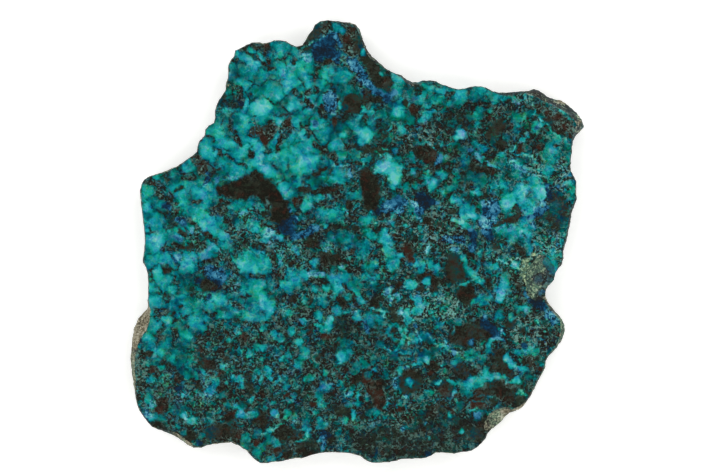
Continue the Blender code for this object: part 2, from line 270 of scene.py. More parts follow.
rockMarks = {
    "teal": [
        (-34.5, 10, 1.3, -31, 10, 2.2, -28.5, 8.5, 2), (-32.3, 6, 1.5, -30, 4, 1.5), (-27.5, 6.5, 1),
        (-15, 37.5, 1, -12.5, 36.3, 1.3), (-22.3, 33, 0.9), (-15, 31, 1, -14.5, 30.5, 1), (-18, 23, 0.9),
        (10.3, 23, 0.8), (11.3, 27, 1.1), (15.7, 26.9, 0.5), (23.2, 28.4, 1.2), (25.8, 27.2, 1.3),
        (23.5, 25, 0.9), (25.3, 24.9, 0.6), (23.3, 23.8, 0.7), (30.5, 21.3, 0.8), (-25, 21, 2),
        (-26.2, 15.2, 1), (-24.5, 13.9, 0.6, -22.5, 13.6, 1.1, -21, 13.3, 1), (-28.5, 8.5, 1.6),
        (-31.5, 9.5, 1.3), (-12.5, 18.5, 1.7), (-10.5, 18, 1.2), (-16.3, 15.8, 0.8),
        (-7, 16.8, 1.1, -5.5, 15.5, 1.2), (-1.5, 8.7, 0.8, -0.2, 8.5, 0.9), (-4, 5, 1.2), (7.8, 15.5, 0.8),
        (12.3, 18.7, 0.6), (0, 3, 0.5), (37.7, 19, 0.6, 36.3, 18, 0.7), (37.3, 15.3, 0.9, 36.3, 13.5, 1),
        (31.5, 7, 1.2), (-30.5, -12.7, 1.4), (-28, -12.5, 1), (-35.2, -12.5, 0.7), (-24.3, -18.7, 0.6),
        (-34.5, -21.7, 1.2), (-20.5, -14, 1, -18, -14.5, 1, -17, -14, 0.8), (-3.8, -12.8, 0.9),
        (-17.8, -16.5, 0.8), (-20.5, -21.3, 0.7), (-2.8, -21.5, 1.6), (-12.7, -21.5, 0.6), (-8.7, -12.3, 0.5),
        (2.2, -6.3, 1.2, 3, -7.3, 1.2), (19.3, -15.3, 0.8), (22, -21.5, 1), (2.3, -19.3, 0.6),
        (4.3, -19.3, 0.7), (22, -21.5, 1.1), (24, -22, 0.7), (-38.2, -21.6, 1), (-39.2, -26.2, 0.9),
        (-25.8, -28.8, 0.6), (-39.5, -28.7, 1.1), (-39.7, -30, 1), (-37.5, -33.7, 1), (-31.3, -33.9, 1),
        (-24.5, -30.9, 0.8), (-29.6, -37, 0.6), (-21.3, -37.3, 0.9), (-0.5, -24.5, 0.9), (-13.3, -27.2, 0.9),
        (-3.3, -26.9, 0.6), (-1.6, -31, 0.8), (0.2, -31, 0.8), (-6.8, -34.8, 1.1), (-5.8, -34.5, 0.6),
        (-17, -36.5, 0.7), (-15.5, -38.3, 0.8), (-17.6, -31.8, 0.5), (18.5, -27, 0.5), (13.9, -28.7, 0.8),
        (30.8, -21.3, 0.6), (26.8, -31.4, 0.6), (18.2, 11.1, 1, 17, 9.6, 0.8), (-2.2, -1.2, 0.7),
        (-12.2, -7.3, 1.8, -10.8, -6.9, 1.4), (-25.5, 0.2, 1.1, -24.2, -1, 1), (-6.3, 21.5, 1.2),
        (24.5, -24, 0.8, 24.3, -25.2, 1.1), (-18.4, 28.6, 1.5), (20.5, -28.5, 0.9, 21, -29, 0.8),
        (-17.9, 6.1, 0.9), (18.5, -23, 0.7), (9.8, -20.8, 0.7), (-29.3, -24.3, 0.5, -29, -25, 0.4),
        (8, -30.8, 0.6), (-7, -30.5, 0.8, -6.2, -31.1, 0.7), (-19.6, -11.3, 0.8), (22.2, 3, 0.6),
        (28.2, -6.4, 0.7), (-18.8, -24.8, 0.5), (28, -25.6, 0.5), (38.8, -2.5, 0.5),
        (-9.8, -26, 0.6, -8.3, -25.9, 0.6), (32, -20.5, 0.7, 34, -21, 0.8), (1, 15.1, 0.5, 2.3, 15.8, 0.6),
        (-9.7, -34.7, 1, -9.5, -36, 0.8), (-0.3, -8, 1, -0.2, -9.3, 1), (33.5, 11.5, 1.2), (1.2, -2.7, 1.1),
        (-6.8, 5.3, 1.4, -4.8, 4.8, 1.5), (-21.8, 21.3, 1.3), (11.9, 3, 0.5, 11.8, 2, 0.5), (-39, -19.3, 0.7),
        (2.3, -14.2, 1), (3.3, -32.3, 1, 2.3, -32.5, 0.8), (11.8, -23, 0.6), (-8, -9, 0.8),
        (10.3, 16.3, 0.6, 10.8, 15.3, 0.6), (-13.5, 15.9, 1.5, -11.6, 16.8, 1.3), (-14.2, 13.8, 1.1),
        (25, -5, 0.8), (14.2, -4.3, 0.7)],
    "deepTeal": [
        (-5.1, 31.5, 0.6), (-4, 22, 1.2, 0, 22.5, 1.2), (5, 24, 1.4, 5, 22.5, 1.2), (30.3, 23.5, 1),
        (-39.8, 5, 0.8), (-4, 20.5, 1.4, -4.5, 22, 1.6), (4, 21, 0.9), (5.7, 19.3, 1), (-0.2, 16.7, 0.9),
        (15.7, 11.3, 0.6), (20.8, 14.5, 0.9), (21.5, 12.5, 0.9), (-2.5, -19.3, 1.3),
        (13, -18, 1.2, 13.8, -18.5, 1.2), (4, -15, 0.8),
        (-33.3, -22.5, 1.2, -33.2, -24.5, 1.2, -31.5, -25.3, 1), (-21.5, -38.6, 1.1), (-18.8, -36.3, 0.9),
        (2, -25.4, 0.9), (3.5, -22.5, 1), (17, -24.5, 0.6), (19.8, -31, 0.8), (23.5, -23, 0.6),
        (21.5, -29, 0.6), (32.5, -25.7, 0.8), (24.2, -32.2, 0.8, 23.2, -33.2, 1), (-2.8, -28.3, 0.8),
        (6, -39.5, 0.5), (-23, 4, 1), (-38.5, 6.1, 0.5), (-16.6, 29.5, 1.4), (23.4, 11.6, 1.4),
        (-4.6, 0.9, 1.1, -1.5, 0.6, 1.3), (3.3, -15.3, 1.8), (-15.9, 28.2, 1.2),
        (-22.6, 33.2, 1.1, -23.4, 32, 0.8), (13.3, -21.8, 1.2), (-2.3, -21.9, 1.2), (-3, 17, 1),
        (-18, -39, 1.1, -18.5, -40, 1.2), (0.3, -23.5, 0.9), (1, -23.3, 1.1), (-7.2, -29, 0.9),
        (-0.5, -0.4, 0.9), (-13.5, 11.5, 1, -12, 11, 1), (9.5, 10.5, 0.5), (-24, 30.9, 0.5, -22.8, 30.3, 0.4),
        (-16.2, -41.2, 0.8), (-13, -21.5, 0.9), (-34, -32, 1.3), (1.2, -0.8, 1.1), (-32.3, -22.5, 1),
        (22.5, 28, 1), (-6.2, -10.5, 0.7, -6.1, -12, 0.7), (10.3, -17.8, 0.6), (-36.5, -19.8, 0.8),
        (26.6, -4.5, 0.8), (33.6, 7.9, 0.7)],
    "green": [
        (7, 31.3, 0.6, 8.3, 30.3, 0.6), (7.5, 29.5, 0.6, 8, 28.3, 0.6), (22.8, 24, 0.6), (13.5, 13, 0.4),
        (-39.3, -23.3, 0.8), (-37.2, -24.1, 0.6), (-24.7, -26.9, 0.5), (-27.2, -34.1, 0.6),
        (-34.2, -35.2, 0.7), (-6, -24.8, 0.7), (-16, -30.8, 0.6), (-11.5, -33, 0.5), (-12.6, -30.6, 0.6),
        (-8, -32.5, 0.6), (-2.2, -34, 0.7), (-3.3, -35.5, 0.4), (-16.5, -37.8, 0.9), (-21.3, -37, 0.5),
        (12.2, -29.7, 0.7), (1.9, -29.8, 0.5), (24.2, -22.2, 0.6), (27, -25.4, 0.8), (33.8, -21.3, 0.6),
        (31, -28.8, 0.6), (29, -31.6, 0.5), (0.2, 40.4, 0.45), (-40.3, 10.4, 0.8, -39.7, 8.4, 1),
        (-15.9, 37.3, 0.8, -15, 36.2, 0.9)],
    "turquoise": [
        (-10.5, 33.5, 1, -9.5, 33, 1), (-17.8, 31.8, 1), (-9.3, 31, 0.7, -9.2, 29.6, 0.7), (-6.2, 31.6, 0.7),
        (-6.6, 30, 0.8), (-4, 31.8, 1.2, -2.2, 31.3, 1.2), (-14.8, 27.6, 0.5, -13, 28.7, 0.7),
        (-12.7, 25.6, 0.8, -11.3, 26.2, 0.8), (-10.8, 23.2, 0.8, -11.5, 22.5, 0.8), (-15.3, 23, 0.9),
        (4.5, 32, 0.4), (2.8, 24.5, 0.8, 3.3, 22.5, 0.9), (7.8, 24.5, 1.1), (12.8, 29.8, 0.6),
        (16.5, 28.7, 1.1), (14, 29.2, 0.8), (19.8, 28, 1.3), (17.5, 26.2, 0.6, 19.3, 26.6, 0.6),
        (14.3, 24.6, 0.4, 15, 24.9, 0.4), (13.8, 24, 0.6, 12.3, 23, 0.6), (6, 21.5, 0.8), (8.7, 21.3, 0.9),
        (0.7, 24, 0.5, 1.3, 25.3, 0.4), (13.2, 25.5, 0.6), (22.9, 22.3, 0.7), (32, 24, 0.6), (34, 21.7, 1),
        (-35, 12.8, 0.5), (-38.3, 12.3, 0.6), (-40.3, 10, 0.5), (-40, 8.5, 0.7, -39.8, 6.5, 0.8),
        (-38.5, 4.5, 1.3, -38, 3, 1.3), (-37.3, 1.2, 1.3), (-34, 8.8, 0.7, -33, 7.5, 0.8),
        (-30.2, 6, 0.8, -31, 4.3, 0.9, -30, 3, 0.8), (-32.7, 14, 0.8), (-28, 0, 0.5),
        (-21, 19, 0.8, -20.7, 18.4, 0.8), (-15.5, 19.5, 0.5, -16.3, 18.2, 0.7),
        (-11, 20.6, 0.7, -10.3, 20, 0.7), (-2.5, 20.3, 0.7), (-3, 12.4, 1.4), (-14.8, 11.3, 0.6),
        (-13, 9.3, 0.8), (-7.3, 8.2, 0.7), (-5.3, 9, 0.4), (-6, 3, 0.7), (-2.5, 5.5, 0.5), (3, 22.7, 0.6),
        (5.8, 16.2, 0.6), (7.2, 17.3, 0.7), (10.5, 13.7, 0.4, 10.7, 12.8, 0.4),
        (13.6, 11.7, 0.8, 14.5, 11.3, 0.8, 14.2, 10, 0.5), (15.5, 13.2, 0.5, 16.5, 12.2, 0.6),
        (16.5, 9.2, 0.6), (19.5, 20.4, 1.3), (1.5, 4, 1, 3.2, 4.6, 0.6), (2, 1.9, 1, 3, 1, 0.9),
        (5, 2, 0.7, 5.5, 0.5, 0.9, 6, -0.8, 0.9), (6.8, 3.2, 0.6, 6.3, 3.8, 0.6), (9.2, 3, 0.5),
        (21.3, 2.5, 0.6), (18.2, 8, 0.5, 20, 8, 0.5), (16, 18.5, 0.5), (32.3, 20.3, 0.6), (31.3, 19.5, 0.5),
        (22.8, 18.6, 0.6, 23.8, 17.4, 0.6), (27.2, 16.3, 0.8), (23, 9.4, 0.8), (27.9, 10.8, 0.8),
        (40.5, 11.2, 0.6), (40.3, 17, 0.4, 40.6, 15.5, 0.5), (28.5, 7.7, 1.3), (33, 5.3, 1), (29.5, 1.5, 1.2),
        (-37, -4, 1), (-32.3, -4.8, 1), (-29.5, -16.2, 0.9), (-36, -15, 1.2), (-22.5, -17, 0.7),
        (-37.5, -21.5, 1.3), (-14.3, -8, 0.7, -13, -9.3, 0.8), (-12.5, -16.9, 0.8),
        (-15.6, -17.6, 1, -14.3, -18.5, 0.9), (-10.3, -15, 0.7), (-11, -19, 0.7), (-11.3, -2.2, 0.5),
        (0.5, -11, 0.7), (0, -14, 0.7), (5.5, 0, 1, 5.5, -1, 1), (6.5, -2.5, 1.2, 7, -4, 1.2),
        (1.8, -4.7, 0.7, 3.3, -4.3, 0.8), (10.8, -4, 0.8, 12.3, -4.5, 0.9, 12.2, -5.2, 0.8),
        (15.5, -4.8, 0.7, 14.8, -5.5, 0.8), (11.5, -11, 0.8, 12, -12.5, 0.9, 11.3, -13.3, 0.8),
        (0.8, -11.3, 0.8), (0, -14.2, 0.8), (14.5, -10.2, 0.6), (15.8, -15.8, 0.8),
        (9.5, -13, 0.5, 10, -15, 0.5), (19.8, -2.8, 0.4, 20.8, -4.5, 0.5, 21.8, -6, 0.7, 22.8, -7.2, 0.8),
        (5.9, -17.3, 0.4, 6.3, -16, 0.4, 7.5, -15.9, 0.4, 8.5, -16.8, 0.4, 9, -18, 0.4, 8.6, -19.3, 0.4, 7.5,
         -20.3, 0.4), (6, -18, 0.35, 7.5, -18.8, 0.35), (27, -13.5, 0.8, 26.7, -14.5, 0.8),
        (29.5, -12.3, 0.5, 31, -12.8, 0.6, 32.5, -13, 0.6), (30.5, -13.6, 0.4), (29.3, -14.5, 0.7),
        (25.2, -18.9, 0.6, 25, -20.7, 0.75), (30.5, -21, 0.7),
        (21.8, -11.6, 0.4, 23.5, -10.9, 0.8, 25.2, -10.6, 0.7), (23.5, -12, 0.3, 24.8, -12, 0.3),
        (-35.1, -22.3, 0.9), (-26.8, -26.8, 0.9), (-27.9, -28, 1), (-22.2, -26.3, 0.9, -22.1, -27.5, 0.6),
        (-22, -33, 0.9, -21, -33.2, 1, -19.6, -32.7, 0.8), (-20.1, -21.4, 0.7), (-14.3, -22.5, 0.6),
        (-11.2, -23.3, 1), (-17, -24.7, 1.1), (-18.2, -26.4, 0.7), (-14, -26.1, 0.9),
        (-6.3, -27.8, 1.2, -5.3, -27.9, 0.7), (-13.2, -32.2, 0.7), (-7.5, -33.8, 0.6), (-3.4, -22.2, 1),
        (21.5, -21.8, 1.2), (17.5, -26.3, 0.5, 18.5, -26.8, 0.6, 19.5, -26.8, 0.5),
        (20.3, -27.3, 0.7, 21.3, -27, 0.9, 22.5, -26.5, 1.1), (19, -28.5, 0.5, 18.5, -29, 0.4),
        (31.5, -24.2, 0.8), (30.3, -26.5, 0.75), (32.3, -24.2, 0.5), (0.3, -29, 0.4, 0.2, -31, 0.4),
        (-0.5, -32.5, 0.5, -0.8, -34, 0.4), (-27, 4, 1.9), (-23.6, 6.3, 0.9, -22, 7.2, 0.8, -20.5, 7.2, 0.7),
        (-19.6, 3.1, 1.4), (-17, 1.6, 1.1), (-18.2, 0, 0.6), (-27.7, -1, 0.8, -28.8, -2.8, 0.8),
        (-20, -3.2, 2.1, -18.3, -4.5, 2), (-20.4, -8.2, 1.4, -19, -8.3, 1.4),
        (32.3, 1.8, 0.6, 32.9, -1.6, 0.7), (23.9, -2, 0.3, 23, -5, 0.35, 22.2, -6.5, 0.4),
        (19.3, -8.4, 0.25, 22, -7.4, 0.4), (24.4, -4.4, 0.5, 27, -5, 0.45), (36.7, -3.6, 1.2, 37.4, -5, 0.8),
        (-4.6, 41.1, 0.5, -3.7, 40.5, 0.9, -2.5, 39.8, 0.55), (1.1, 35.9, 0.6), (1.4, 20.4, 1.8),
        (-32.5, 10.2, 1.3, -31, 8.8, 1.6, -29, 8, 1.5), (-33.8, 8.6, 0.7, -32.2, 6.4, 0.9, -30.6, 4.9, 0.9),
        (-21.8, 35.3, 0.7, -20.3, 34.4, 0.8, -19, 33.5, 0.6), (-20.7, 36.6, 0.4, -18.2, 34.9, 0.4),
        (-14.8, 33.3, 0.8, -13.3, 31.6, 0.9, -11.6, 30, 1), (-2, -10.8, 0.8),
        (-4.9, -6.7, 0.8, -3.4, -7.8, 1.8, -3.6, -9.2, 1.1), (-1.6, -6.9, 1.2, -0.5, -8.6, 1.3),
        (-7.3, -14, 0.8), (-24, 18, 1.1), (-11.5, -7, 0.9), (-22.7, -31.3, 0.9),
        (-26, -14, 0.9, -24, -13.3, 1, -22.5, -13, 1), (-10.3, -20.5, 0.9, -10.3, -22, 1),
        (-38.5, -33.2, 0.9), (25.5, -25.5, 0.8), (10.3, -8.2, 1.1), (8.4, 20.6, 0.8), (20.8, -4.5, 0.5),
        (-27.6, -28.8, 0.7), (-33, -10.3, 0.8), (-19, 17.3, 0.8, -18.5, 16.5, 0.8), (-28.7, -14.5, 0.6),
        (-34.8, 10.2, 0.9), (-38.5, -2.5, 1.5), (-8.1, -15.8, 0.35, -6.8, -16.2, 0.35, -6.6, -17.3, 0.35),
        (-21.5, 24, 0.7), (-35.4, -7, 0.9), (32.8, 7.1, 1, 31.5, 6, 0.9), (-34, -17, 0.6, -32, -17.8, 0.9),
        (11, -19, 0.7), (-28.5, 17.4, 0.9), (-30.5, -25.7, 0.6), (21.3, 6.2, 0.9, 22, 4.8, 0.9),
        (-5.9, -8.8, 0.8), (29.6, 8.2, 1), (-19, -20, 0.7, -17.5, -20.5, 0.8), (-9.3, 7.7, 1, -9.8, 6.5, 0.9),
        (20.2, 5.1, 0.9, 20.2, 6.5, 1), (28.6, 5, 0.7), (10, -26.7, 0.9), (29.6, -4.4, 0.7), (33, -0.6, 0.6)],
    "pale": [
        (31.3, 9.8, 1.2), (34.6, 9.8, 1.3), (-19.3, 25.2, 1.1, -17.3, 25.3, 1.2), (-26.3, 20.3, 1.2),
        (-11.3, 13.8, 1, -9.8, 14.3, 1.2, -8.3, 15.3, 1.2),
        (-19.5, 14.8, 0.7, -17.5, 13.8, 0.9, -15.8, 12.7, 0.8), (31.3, 9, 1.1), (35, 9, 1.1),
        (-18.8, -10.3, 0.8, -17, -11.8, 1.3, -16.4, -13.3, 0.8), (-8.3, -4, 0.75),
        (-5.3, -15, 0.8, -5.5, -16.5, 0.8), (-3.2, -22.6, 0.6), (8.3, -2.8, 0.8), (13.3, -7.6, 0.85),
        (23.5, -7.6, 0.6), (-17.8, -4.3, 0.8), (-22, -4.2, 0.7), (-25.5, -23.8, 0.6), (-23.4, -25.7, 0.5),
        (-32.8, -33.2, 0.6), (-33, -29.1, 0.4), (-18.3, -22.4, 0.5), (-16.3, -26, 0.5),
        (-20.2, -30.2, 0.6, -19.5, -29.8, 0.4), (-13.7, -33.4, 0.4), (7.8, -24.6, 0.9, 8.3, -24.3, 0.6),
        (13.3, -22.6, 0.6), (10.8, -23.3, 0.4), (3.5, -24.5, 0.5), (22.3, -26.8, 1.3, 23.2, -26.8, 0.9),
        (28.3, -22.1, 0.9, 29.3, -23, 0.9, 30, -23.6, 0.6), (20.2, -36, 0.6), (17.6, -32.8, 0.5),
        (5.9, 21.4, 0.6), (14, 11.4, 0.9, 14.5, 10.4, 0.6), (19.7, 20.5, 1),
        (-4.3, 40.9, 0.4, -3.2, 40.2, 0.55), (-0.1, 40.8, 0.3, 0.6, 39.8, 0.25),
        (5.2, 14, 1.5, 7.4, 13.9, 1.3, 6.9, 11.4, 1.2), (30, 2.1, 0.9, 31.2, 1.6, 0.6), (-11.7, 30.1, 0.9),
        (-22.6, 16.6, 1.1), (-21.5, 17, 1), (5.5, 0.2, 0.9), (-37.8, -5.5, 0.9), (-25.8, -11, 1.2),
        (-3.5, -8.9, 0.7), (-21.6, 5.7, 0.6), (-4.9, -6.7, 0.7), (33.9, 6.1, 0.6), (9.2, -23.9, 0.5),
        (23.5, -2.3, 0.7), (17.5, 26.1, 0.5), (31.1, 1.5, 0.55), (0.7, 24, 0.5), (-22.8, 35.9, 0.5),
        (12.8, 29.8, 0.5), (18.6, 3.9, 0.6, 20.6, 3.2, 0.8), (28, -8, 1, 27.3, -9.5, 1, 26.8, -10.8, 0.8),
        (27.5, 2, 0.8), (41, 9.5, 0.5), (-9.3, 31, 0.6), (-19.2, 33.6, 0.6), (-12.7, 25.6, 0.75),
        (-14.7, 0.5, 0.6), (-11, -19, 0.6), (30.3, -26.5, 0.6), (-27.7, -1, 0.7), (-38.5, 4.4, 0.9),
        (-28.6, 8, 1), (-31, 4.4, 0.8), (-15.8, -32.7, 0.9), (-35.3, -9, 0.9), (2.7, 5.6, 0.5),
        (-31.2, 2.3, 0.45), (-27.3, 16, 1.1), (-26, -14, 0.7), (21.8, -6, 0.6), (-33, -10.3, 0.6),
        (28.3, 7.5, 1.3), (-27.6, -28.8, 0.55), (-6.7, -6.2, 0.45), (23, 9.4, 0.6), (-22.6, -13, 0.7),
        (-4.9, -6.8, 0.5), (10, -26.7, 0.6)],
    "bright": [
        (-18.2, 25.6, 1.3), (1.4, 20.5, 1.5), (-9.3, 14.6, 1.5),
        (5.6, 13.9, 1.1, 7.1, 13.6, 1.1, 6.9, 12, 0.8), (-2.5, 20.2, 0.5), (14.3, 11, 0.7), (19.7, 20.5, 0.8),
        (34.8, 9.4, 0.8), (-17.4, 13.8, 0.7), (28.4, 7.4, 0.7), (21.7, 4.9, 0.7), (8.3, -2.8, 0.6),
        (7.2, 13.8, 1.1), (-21.6, 5.7, 0.5)],
    "lightBlue": [
        (24.5, 4.5, 1, 27, 3, 1.2), (29.2, 2.6, 1), (-14, 32.6, 0.4), (-25, 12, 0.5, -23, 12, 0.5),
        (-31.3, 2.2, 0.6), (-21.6, 5.5, 0.6), (-1.5, 12.8, 0.7), (-13.5, 8.2, 0.4), (-11, 4.5, 0.4),
        (8, 5.8, 0.7), (11, 7.2, 0.8), (11.8, 4.3, 0.7), (22.5, 16.5, 0.6, 23.5, 15.5, 0.4),
        (29, 15.3, 0.6, 31, 14, 0.7, 32.3, 13.2, 0.6), (25, 14.8, 0.3, 26, 14, 0.3),
        (35.5, 7, 0.8, 34, 6, 0.8), (33, 3.3, 0.5, 34, 2.7, 0.5), (31.3, 1.3, 0.7),
        (24, 4, 0.9, 24.5, 3, 0.9), (-17, 2, 0.8, -16.3, 1.8, 0.8), (-33.8, -3.3, 1), (-28.8, -3, 0.9),
        (-28, -1, 0.8), (-9, -6, 0.7, -6.8, -6.2, 0.7), (-2.7, -4.7, 0.6), (-14.5, -4, 0.6),
        (-6.5, -1.5, 0.4, -5, -1.5, 0.4), (6, -9.7, 0.8), (7.5, -9.8, 0.7), (8, -10.5, 0.6),
        (8.3, -13.5, 0.7), (17.5, -1.5, 0.5, 19.5, -1.4, 0.5), (13.5, -1, 0.35, 13.4, -2, 0.4),
        (32.2, -12.9, 0.4), (27.5, -17, 0.7), (32.4, -10.3, 0.4),
        (25.5, -18.5, 0.3, 27, -18.2, 0.3, 28.3, -19, 0.3), (-28.5, -29.3, 0.6), (-38.9, -30.9, 0.6),
        (-11.8, -34, 0.6), (-6.3, -38, 0.8), (-7, -38, 0.5), (-6.5, -39, 0.6), (9.3, -24, 0.5),
        (7.2, -26.3, 0.5, 7, -27.3, 0.6), (9.3, -29.5, 0.6), (13, -34.5, 0.3), (16.2, -23.5, 0.4),
        (22.3, -23.5, 0.5), (11.4, -36.7, 0.4), (8.8, -35.7, 0.6), (32.3, -21.2, 0.5), (35.2, -9.6, 0.7),
        (32.6, -8.6, 0.5), (-9.4, 35, 1), (36.6, -13.9, 0.35), (37.8, -15.2, 0.35), (37, -16.3, 0.35),
        (-39.6, -32.3, 0.9), (5.7, 6.3, 0.7), (-28.8, 10.8, 0.6), (-8, 2.7, 0.6), (-1.8, -28.9, 0.7),
        (-8, 26, 0.45), (-33.5, 3.8, 0.6), (24.3, 7.2, 0.8), (5.2, -9.8, 0.6), (6.4, -11.2, 0.5),
        (8, -10, 0.5), (-9.8, 27.3, 0.45, -8, 26, 0.5, -9, 25.3, 0.35)],
    "blue": [
        (-0.5, 33.8, 0.8, 0.5, 32.3, 0.7, 2, 30.2, 0.8, 3.5, 28.5, 0.7, 5.5, 27.3, 0.7, 7.3, 28.3, 0.5),
        (34.3, 21.5, 0.4), (-28.5, 13.2, 0.5), (-33.8, 4, 0.6, -33, 3.2, 0.7),
        (-34.5, 0.8, 0.5, -33.5, 0.3, 0.5), (-4.2, 0.8, 0.4), (-1, 1, 0.4), (-12.7, 6, 0.4),
        (-12, 0.8, 0.7, -10.5, 1.2, 0.7, -8, 2.7, 0.7), (5.7, 6.3, 1, 7.8, 8, 1), (9.3, 7.5, 0.6), (12, 6, 1),
        (21.5, 17.4, 0.6), (25, 5.5, 1, 26.5, 5.6, 0.8), (24.5, 1.8, 0.6), (38.5, 10.3, 0.4),
        (36.3, 10.8, 0.4), (-31.2, -3.5, 0.5), (-25.2, -7, 0.7), (-25.8, -5.3, 0.4), (11, -16, 0.6),
        (22, -1.3, 0.8), (21.8, -19.4, 0.6), (37.3, -15.3, 0.6), (-6, -37, 0.9), (23, -33.2, 0.7),
        (32.2, -10, 0.5), (-7.9, 37.2, 0.35, -7, 37.4, 0.3), (-8, 22.4, 0.75),
        (32.6, 4.6, 0.4, 34.8, 5.6, 0.45, 36.2, 6.6, 0.45), (1.6, -16, 0.4, 2.2, -17.2, 0.5),
        (-27.4, -6.2, 0.8), (15.3, 7.3, 0.5), (-4, 39, 0.35, -3.3, 37.2, 0.35), (-4, 34.5, 0.6),
        (18.5, -21, 0.5), (24.3, -14.3, 0.5), (-26.6, 11.8, 0.6), (26.5, 6.5, 0.8),
        (15.8, 16.3, 0.5, 15.5, 15, 0.7)],
    "navy": [
        (-36, 6.8, 0.8), (-13.5, 2.5, 1.7), (4, 5.7, 0.5), (21.7, 1.5, 0.8), (22.3, 0.3, 0.8),
        (12, 8.5, 1, 13.5, 7.5, 1.2), (36.8, 9.3, 0.4), (-27.5, -8, 1.6), (-30, -7.5, 0.6), (-28, -10.5, 0.5),
        (-7.9, -17, 0.5), (24, -15.5, 0.9, 25, -16.3, 0.9, 26.3, -17.8, 0.6, 27.7, -18.9, 0.4),
        (31.7, -19.7, 0.6), (-29.9, -38.2, 0.7), (-34, -28, 0.7), (-5.3, -37.3, 0.6), (-6.2, -36.3, 0.5),
        (-30, -24.7, 0.4), (-25.5, -26.8, 0.35), (28.5, -31.5, 0.4), (-17.5, -40.3, 0.4), (13.5, -40.3, 0.7),
        (-8.8, 36.9, 0.5, -6.5, 37.2, 1.5, -4.9, 38.4, 1.2), (-5.2, 36, 1.4, -4.2, 35.6, 1.1),
        (-7.4, 35.4, 1.1), (36.6, 8.6, 0.4, 36.2, 9.6, 0.4),
        (33, -10.9, 0.5, 34.4, -11.7, 0.9, 35.4, -12.4, 0.6), (25, 1, 0.85), (23.3, 0.3, 0.35),
        (-22, 26.1, 0.6), (-12.5, 4.5, 0.6, -11.5, 4.3, 0.6), (24.3, 6.3, 0.5), (-28.5, 11.8, 0.7),
        (5.5, 27.2, 0.6)],
    "slate": [
        (36.3, 26.6, 0.7, 39, 25.6, 0.8, 41.4, 23.2, 0.8, 42.2, 22, 0.6), (34, 4.6, 0.8, 36, 4.8, 1.2),
        (37.8, 8.8, 1.4, 38.2, 6.5, 2.4, 38.2, 3.8, 2.1)],
    "pepper": [
        (-37.5, 9.8, 0.9, -36, 8.5, 0.9, -34.8, 7.5, 0.9), (-34.5, 6, 0.7),
        (-31.8, 4.2, 0.4, -30.5, 2.5, 0.4), (-30.5, 0.5, 0.7), (-37, -1.2, 0.4, -35.5, -1.5, 0.4),
        (-38.5, -13.2, 0.5, -36.5, -13.5, 0.5), (-38, -14.5, 0.7), (-35, -17, 0.5, -34.5, -19, 0.5),
        (-32.5, -16, 0.5), (-29.5, -18.8, 1), (-39.5, 11.7, 0.5, -38, 10.8, 0.6),
        (-8.2, 28.7, 0.8, -9.3, 28, 0.6), (-22, 27.5, 1), (30.5, -7, 1.2), (31, -9.5, 1.2),
        (27, 24.5, 1.2, 27, 22, 1.4), (26.5, 21.5, 1.6), (-27.5, 6.2, 0.45, -25, 7, 0.5, -24.4, 8, 0.5),
        (-28, 5.5, 0.35, -24.6, 5.2, 0.4), (-24.5, 4.9, 0.4, -24.5, 3, 0.4, -24, 2, 0.5),
        (-20, 5.3, 0.4, -16.8, 4.9, 0.45),
        (-22.5, -0.4, 0.6, -20, -0.3, 0.6, -18.5, -1, 0.6, -16.5, -1.9, 0.6, -15.4, -3.5, 0.6, -15.3, -8,
         0.5), (-13.3, -2.5, 0.9, -12, -4, 0.9), (-29, -4, 0.5, -27, -3.6, 0.5, -26, -2.9, 0.5),
        (16.3, 10.6, 0.35, 17.8, 12, 0.35), (-23.2, -11.8, 0.6, -22.3, -12.6, 0.6),
        (-24.2, 29.8, 0.7, -22.6, 29.1, 0.6), (-34.5, -1, 0.7), (-29.5, -0.5, 0.8), (-9, -23.1, 0.6),
        (-26.5, -21.5, 0.9), (27.6, -1, 0.7, 29.5, -1.2, 0.8), (-16.9, 8, 0.4, -16.8, 6.2, 0.4),
        (-26, -2.7, 0.5, -24, -4, 0.6, -23.2, -5.2, 0.5), (-7, 25.6, 0.6, -6.6, 24, 0.6),
        (-24.5, 2, 0.5, -22, 0.6, 0.6, -19.5, 1.1, 0.6), (-24.5, -8, 1.1),
        (-11.7, 28.8, 0.3, -11.3, 28, 0.5, -10.8, 26.7, 0.6), (2.6, 35.4, 0.45, 3.8, 34, 0.45)],
    "dark": [
        (-14, 34.8, 0.5), (-12, 34, 0.4), (-20.2, 27.9, 0.5), (-5.8, 34.2, 0.7),
        (2, 28, 0.8, 1.5, 26.8, 0.7, 4.5, 27, 0.5), (20.8, 26, 0.6), (28.6, 26.6, 0.5), (-18.8, 11.8, 1.5),
        (-10.5, 9.8, 0.5, -7, 9.5, 0.6, -4, 9.8, 0.5), (-9, 0.3, 1), (-1.3, 6.8, 0.9), (13.5, 4, 0.9),
        (22.5, 14.2, 1, 25.5, 13.8, 1), (27.5, 18.5, 1.2), (31, 18, 0.8), (34.5, 20, 0.5), (38.8, 20.7, 0.8),
        (35.7, 11.7, 0.5), (-36.5, -5.7, 0.6, -35.7, -5.7, 0.6), (-26, -18.5, 0.6), (-39.5, -21.5, 0.8),
        (-34.8, -13.6, 0.4), (-33.3, -12.2, 0.5), (-8.5, -0.3, 1.3), (-6, -3.3, 1.6, -3.8, -3, 1.2),
        (-1.5, -5.5, 0.7), (-12.3, -11, 0.8), (-9.3, -17.5, 0.6, -9, -16, 0.6), (-5.5, -20, 0.5),
        (12.3, -6.5, 0.9, 15, -7.5, 1, 14.5, -9.2, 0.8), (12, -9, 0.8), (8.2, -7.8, 0.6, 7.3, -9.2, 0.6),
        (10.4, -11.5, 0.6), (3.5, -11.5, 1.1), (7, -17, 0.6), (18.8, -18.3, 1.6),
        (20.5, -17.5, 2.2, 23, -17.2, 2.2), (21.3, -2.5, 0.8), (24.7, -7.5, 0.8), (21.5, -9.3, 0.8),
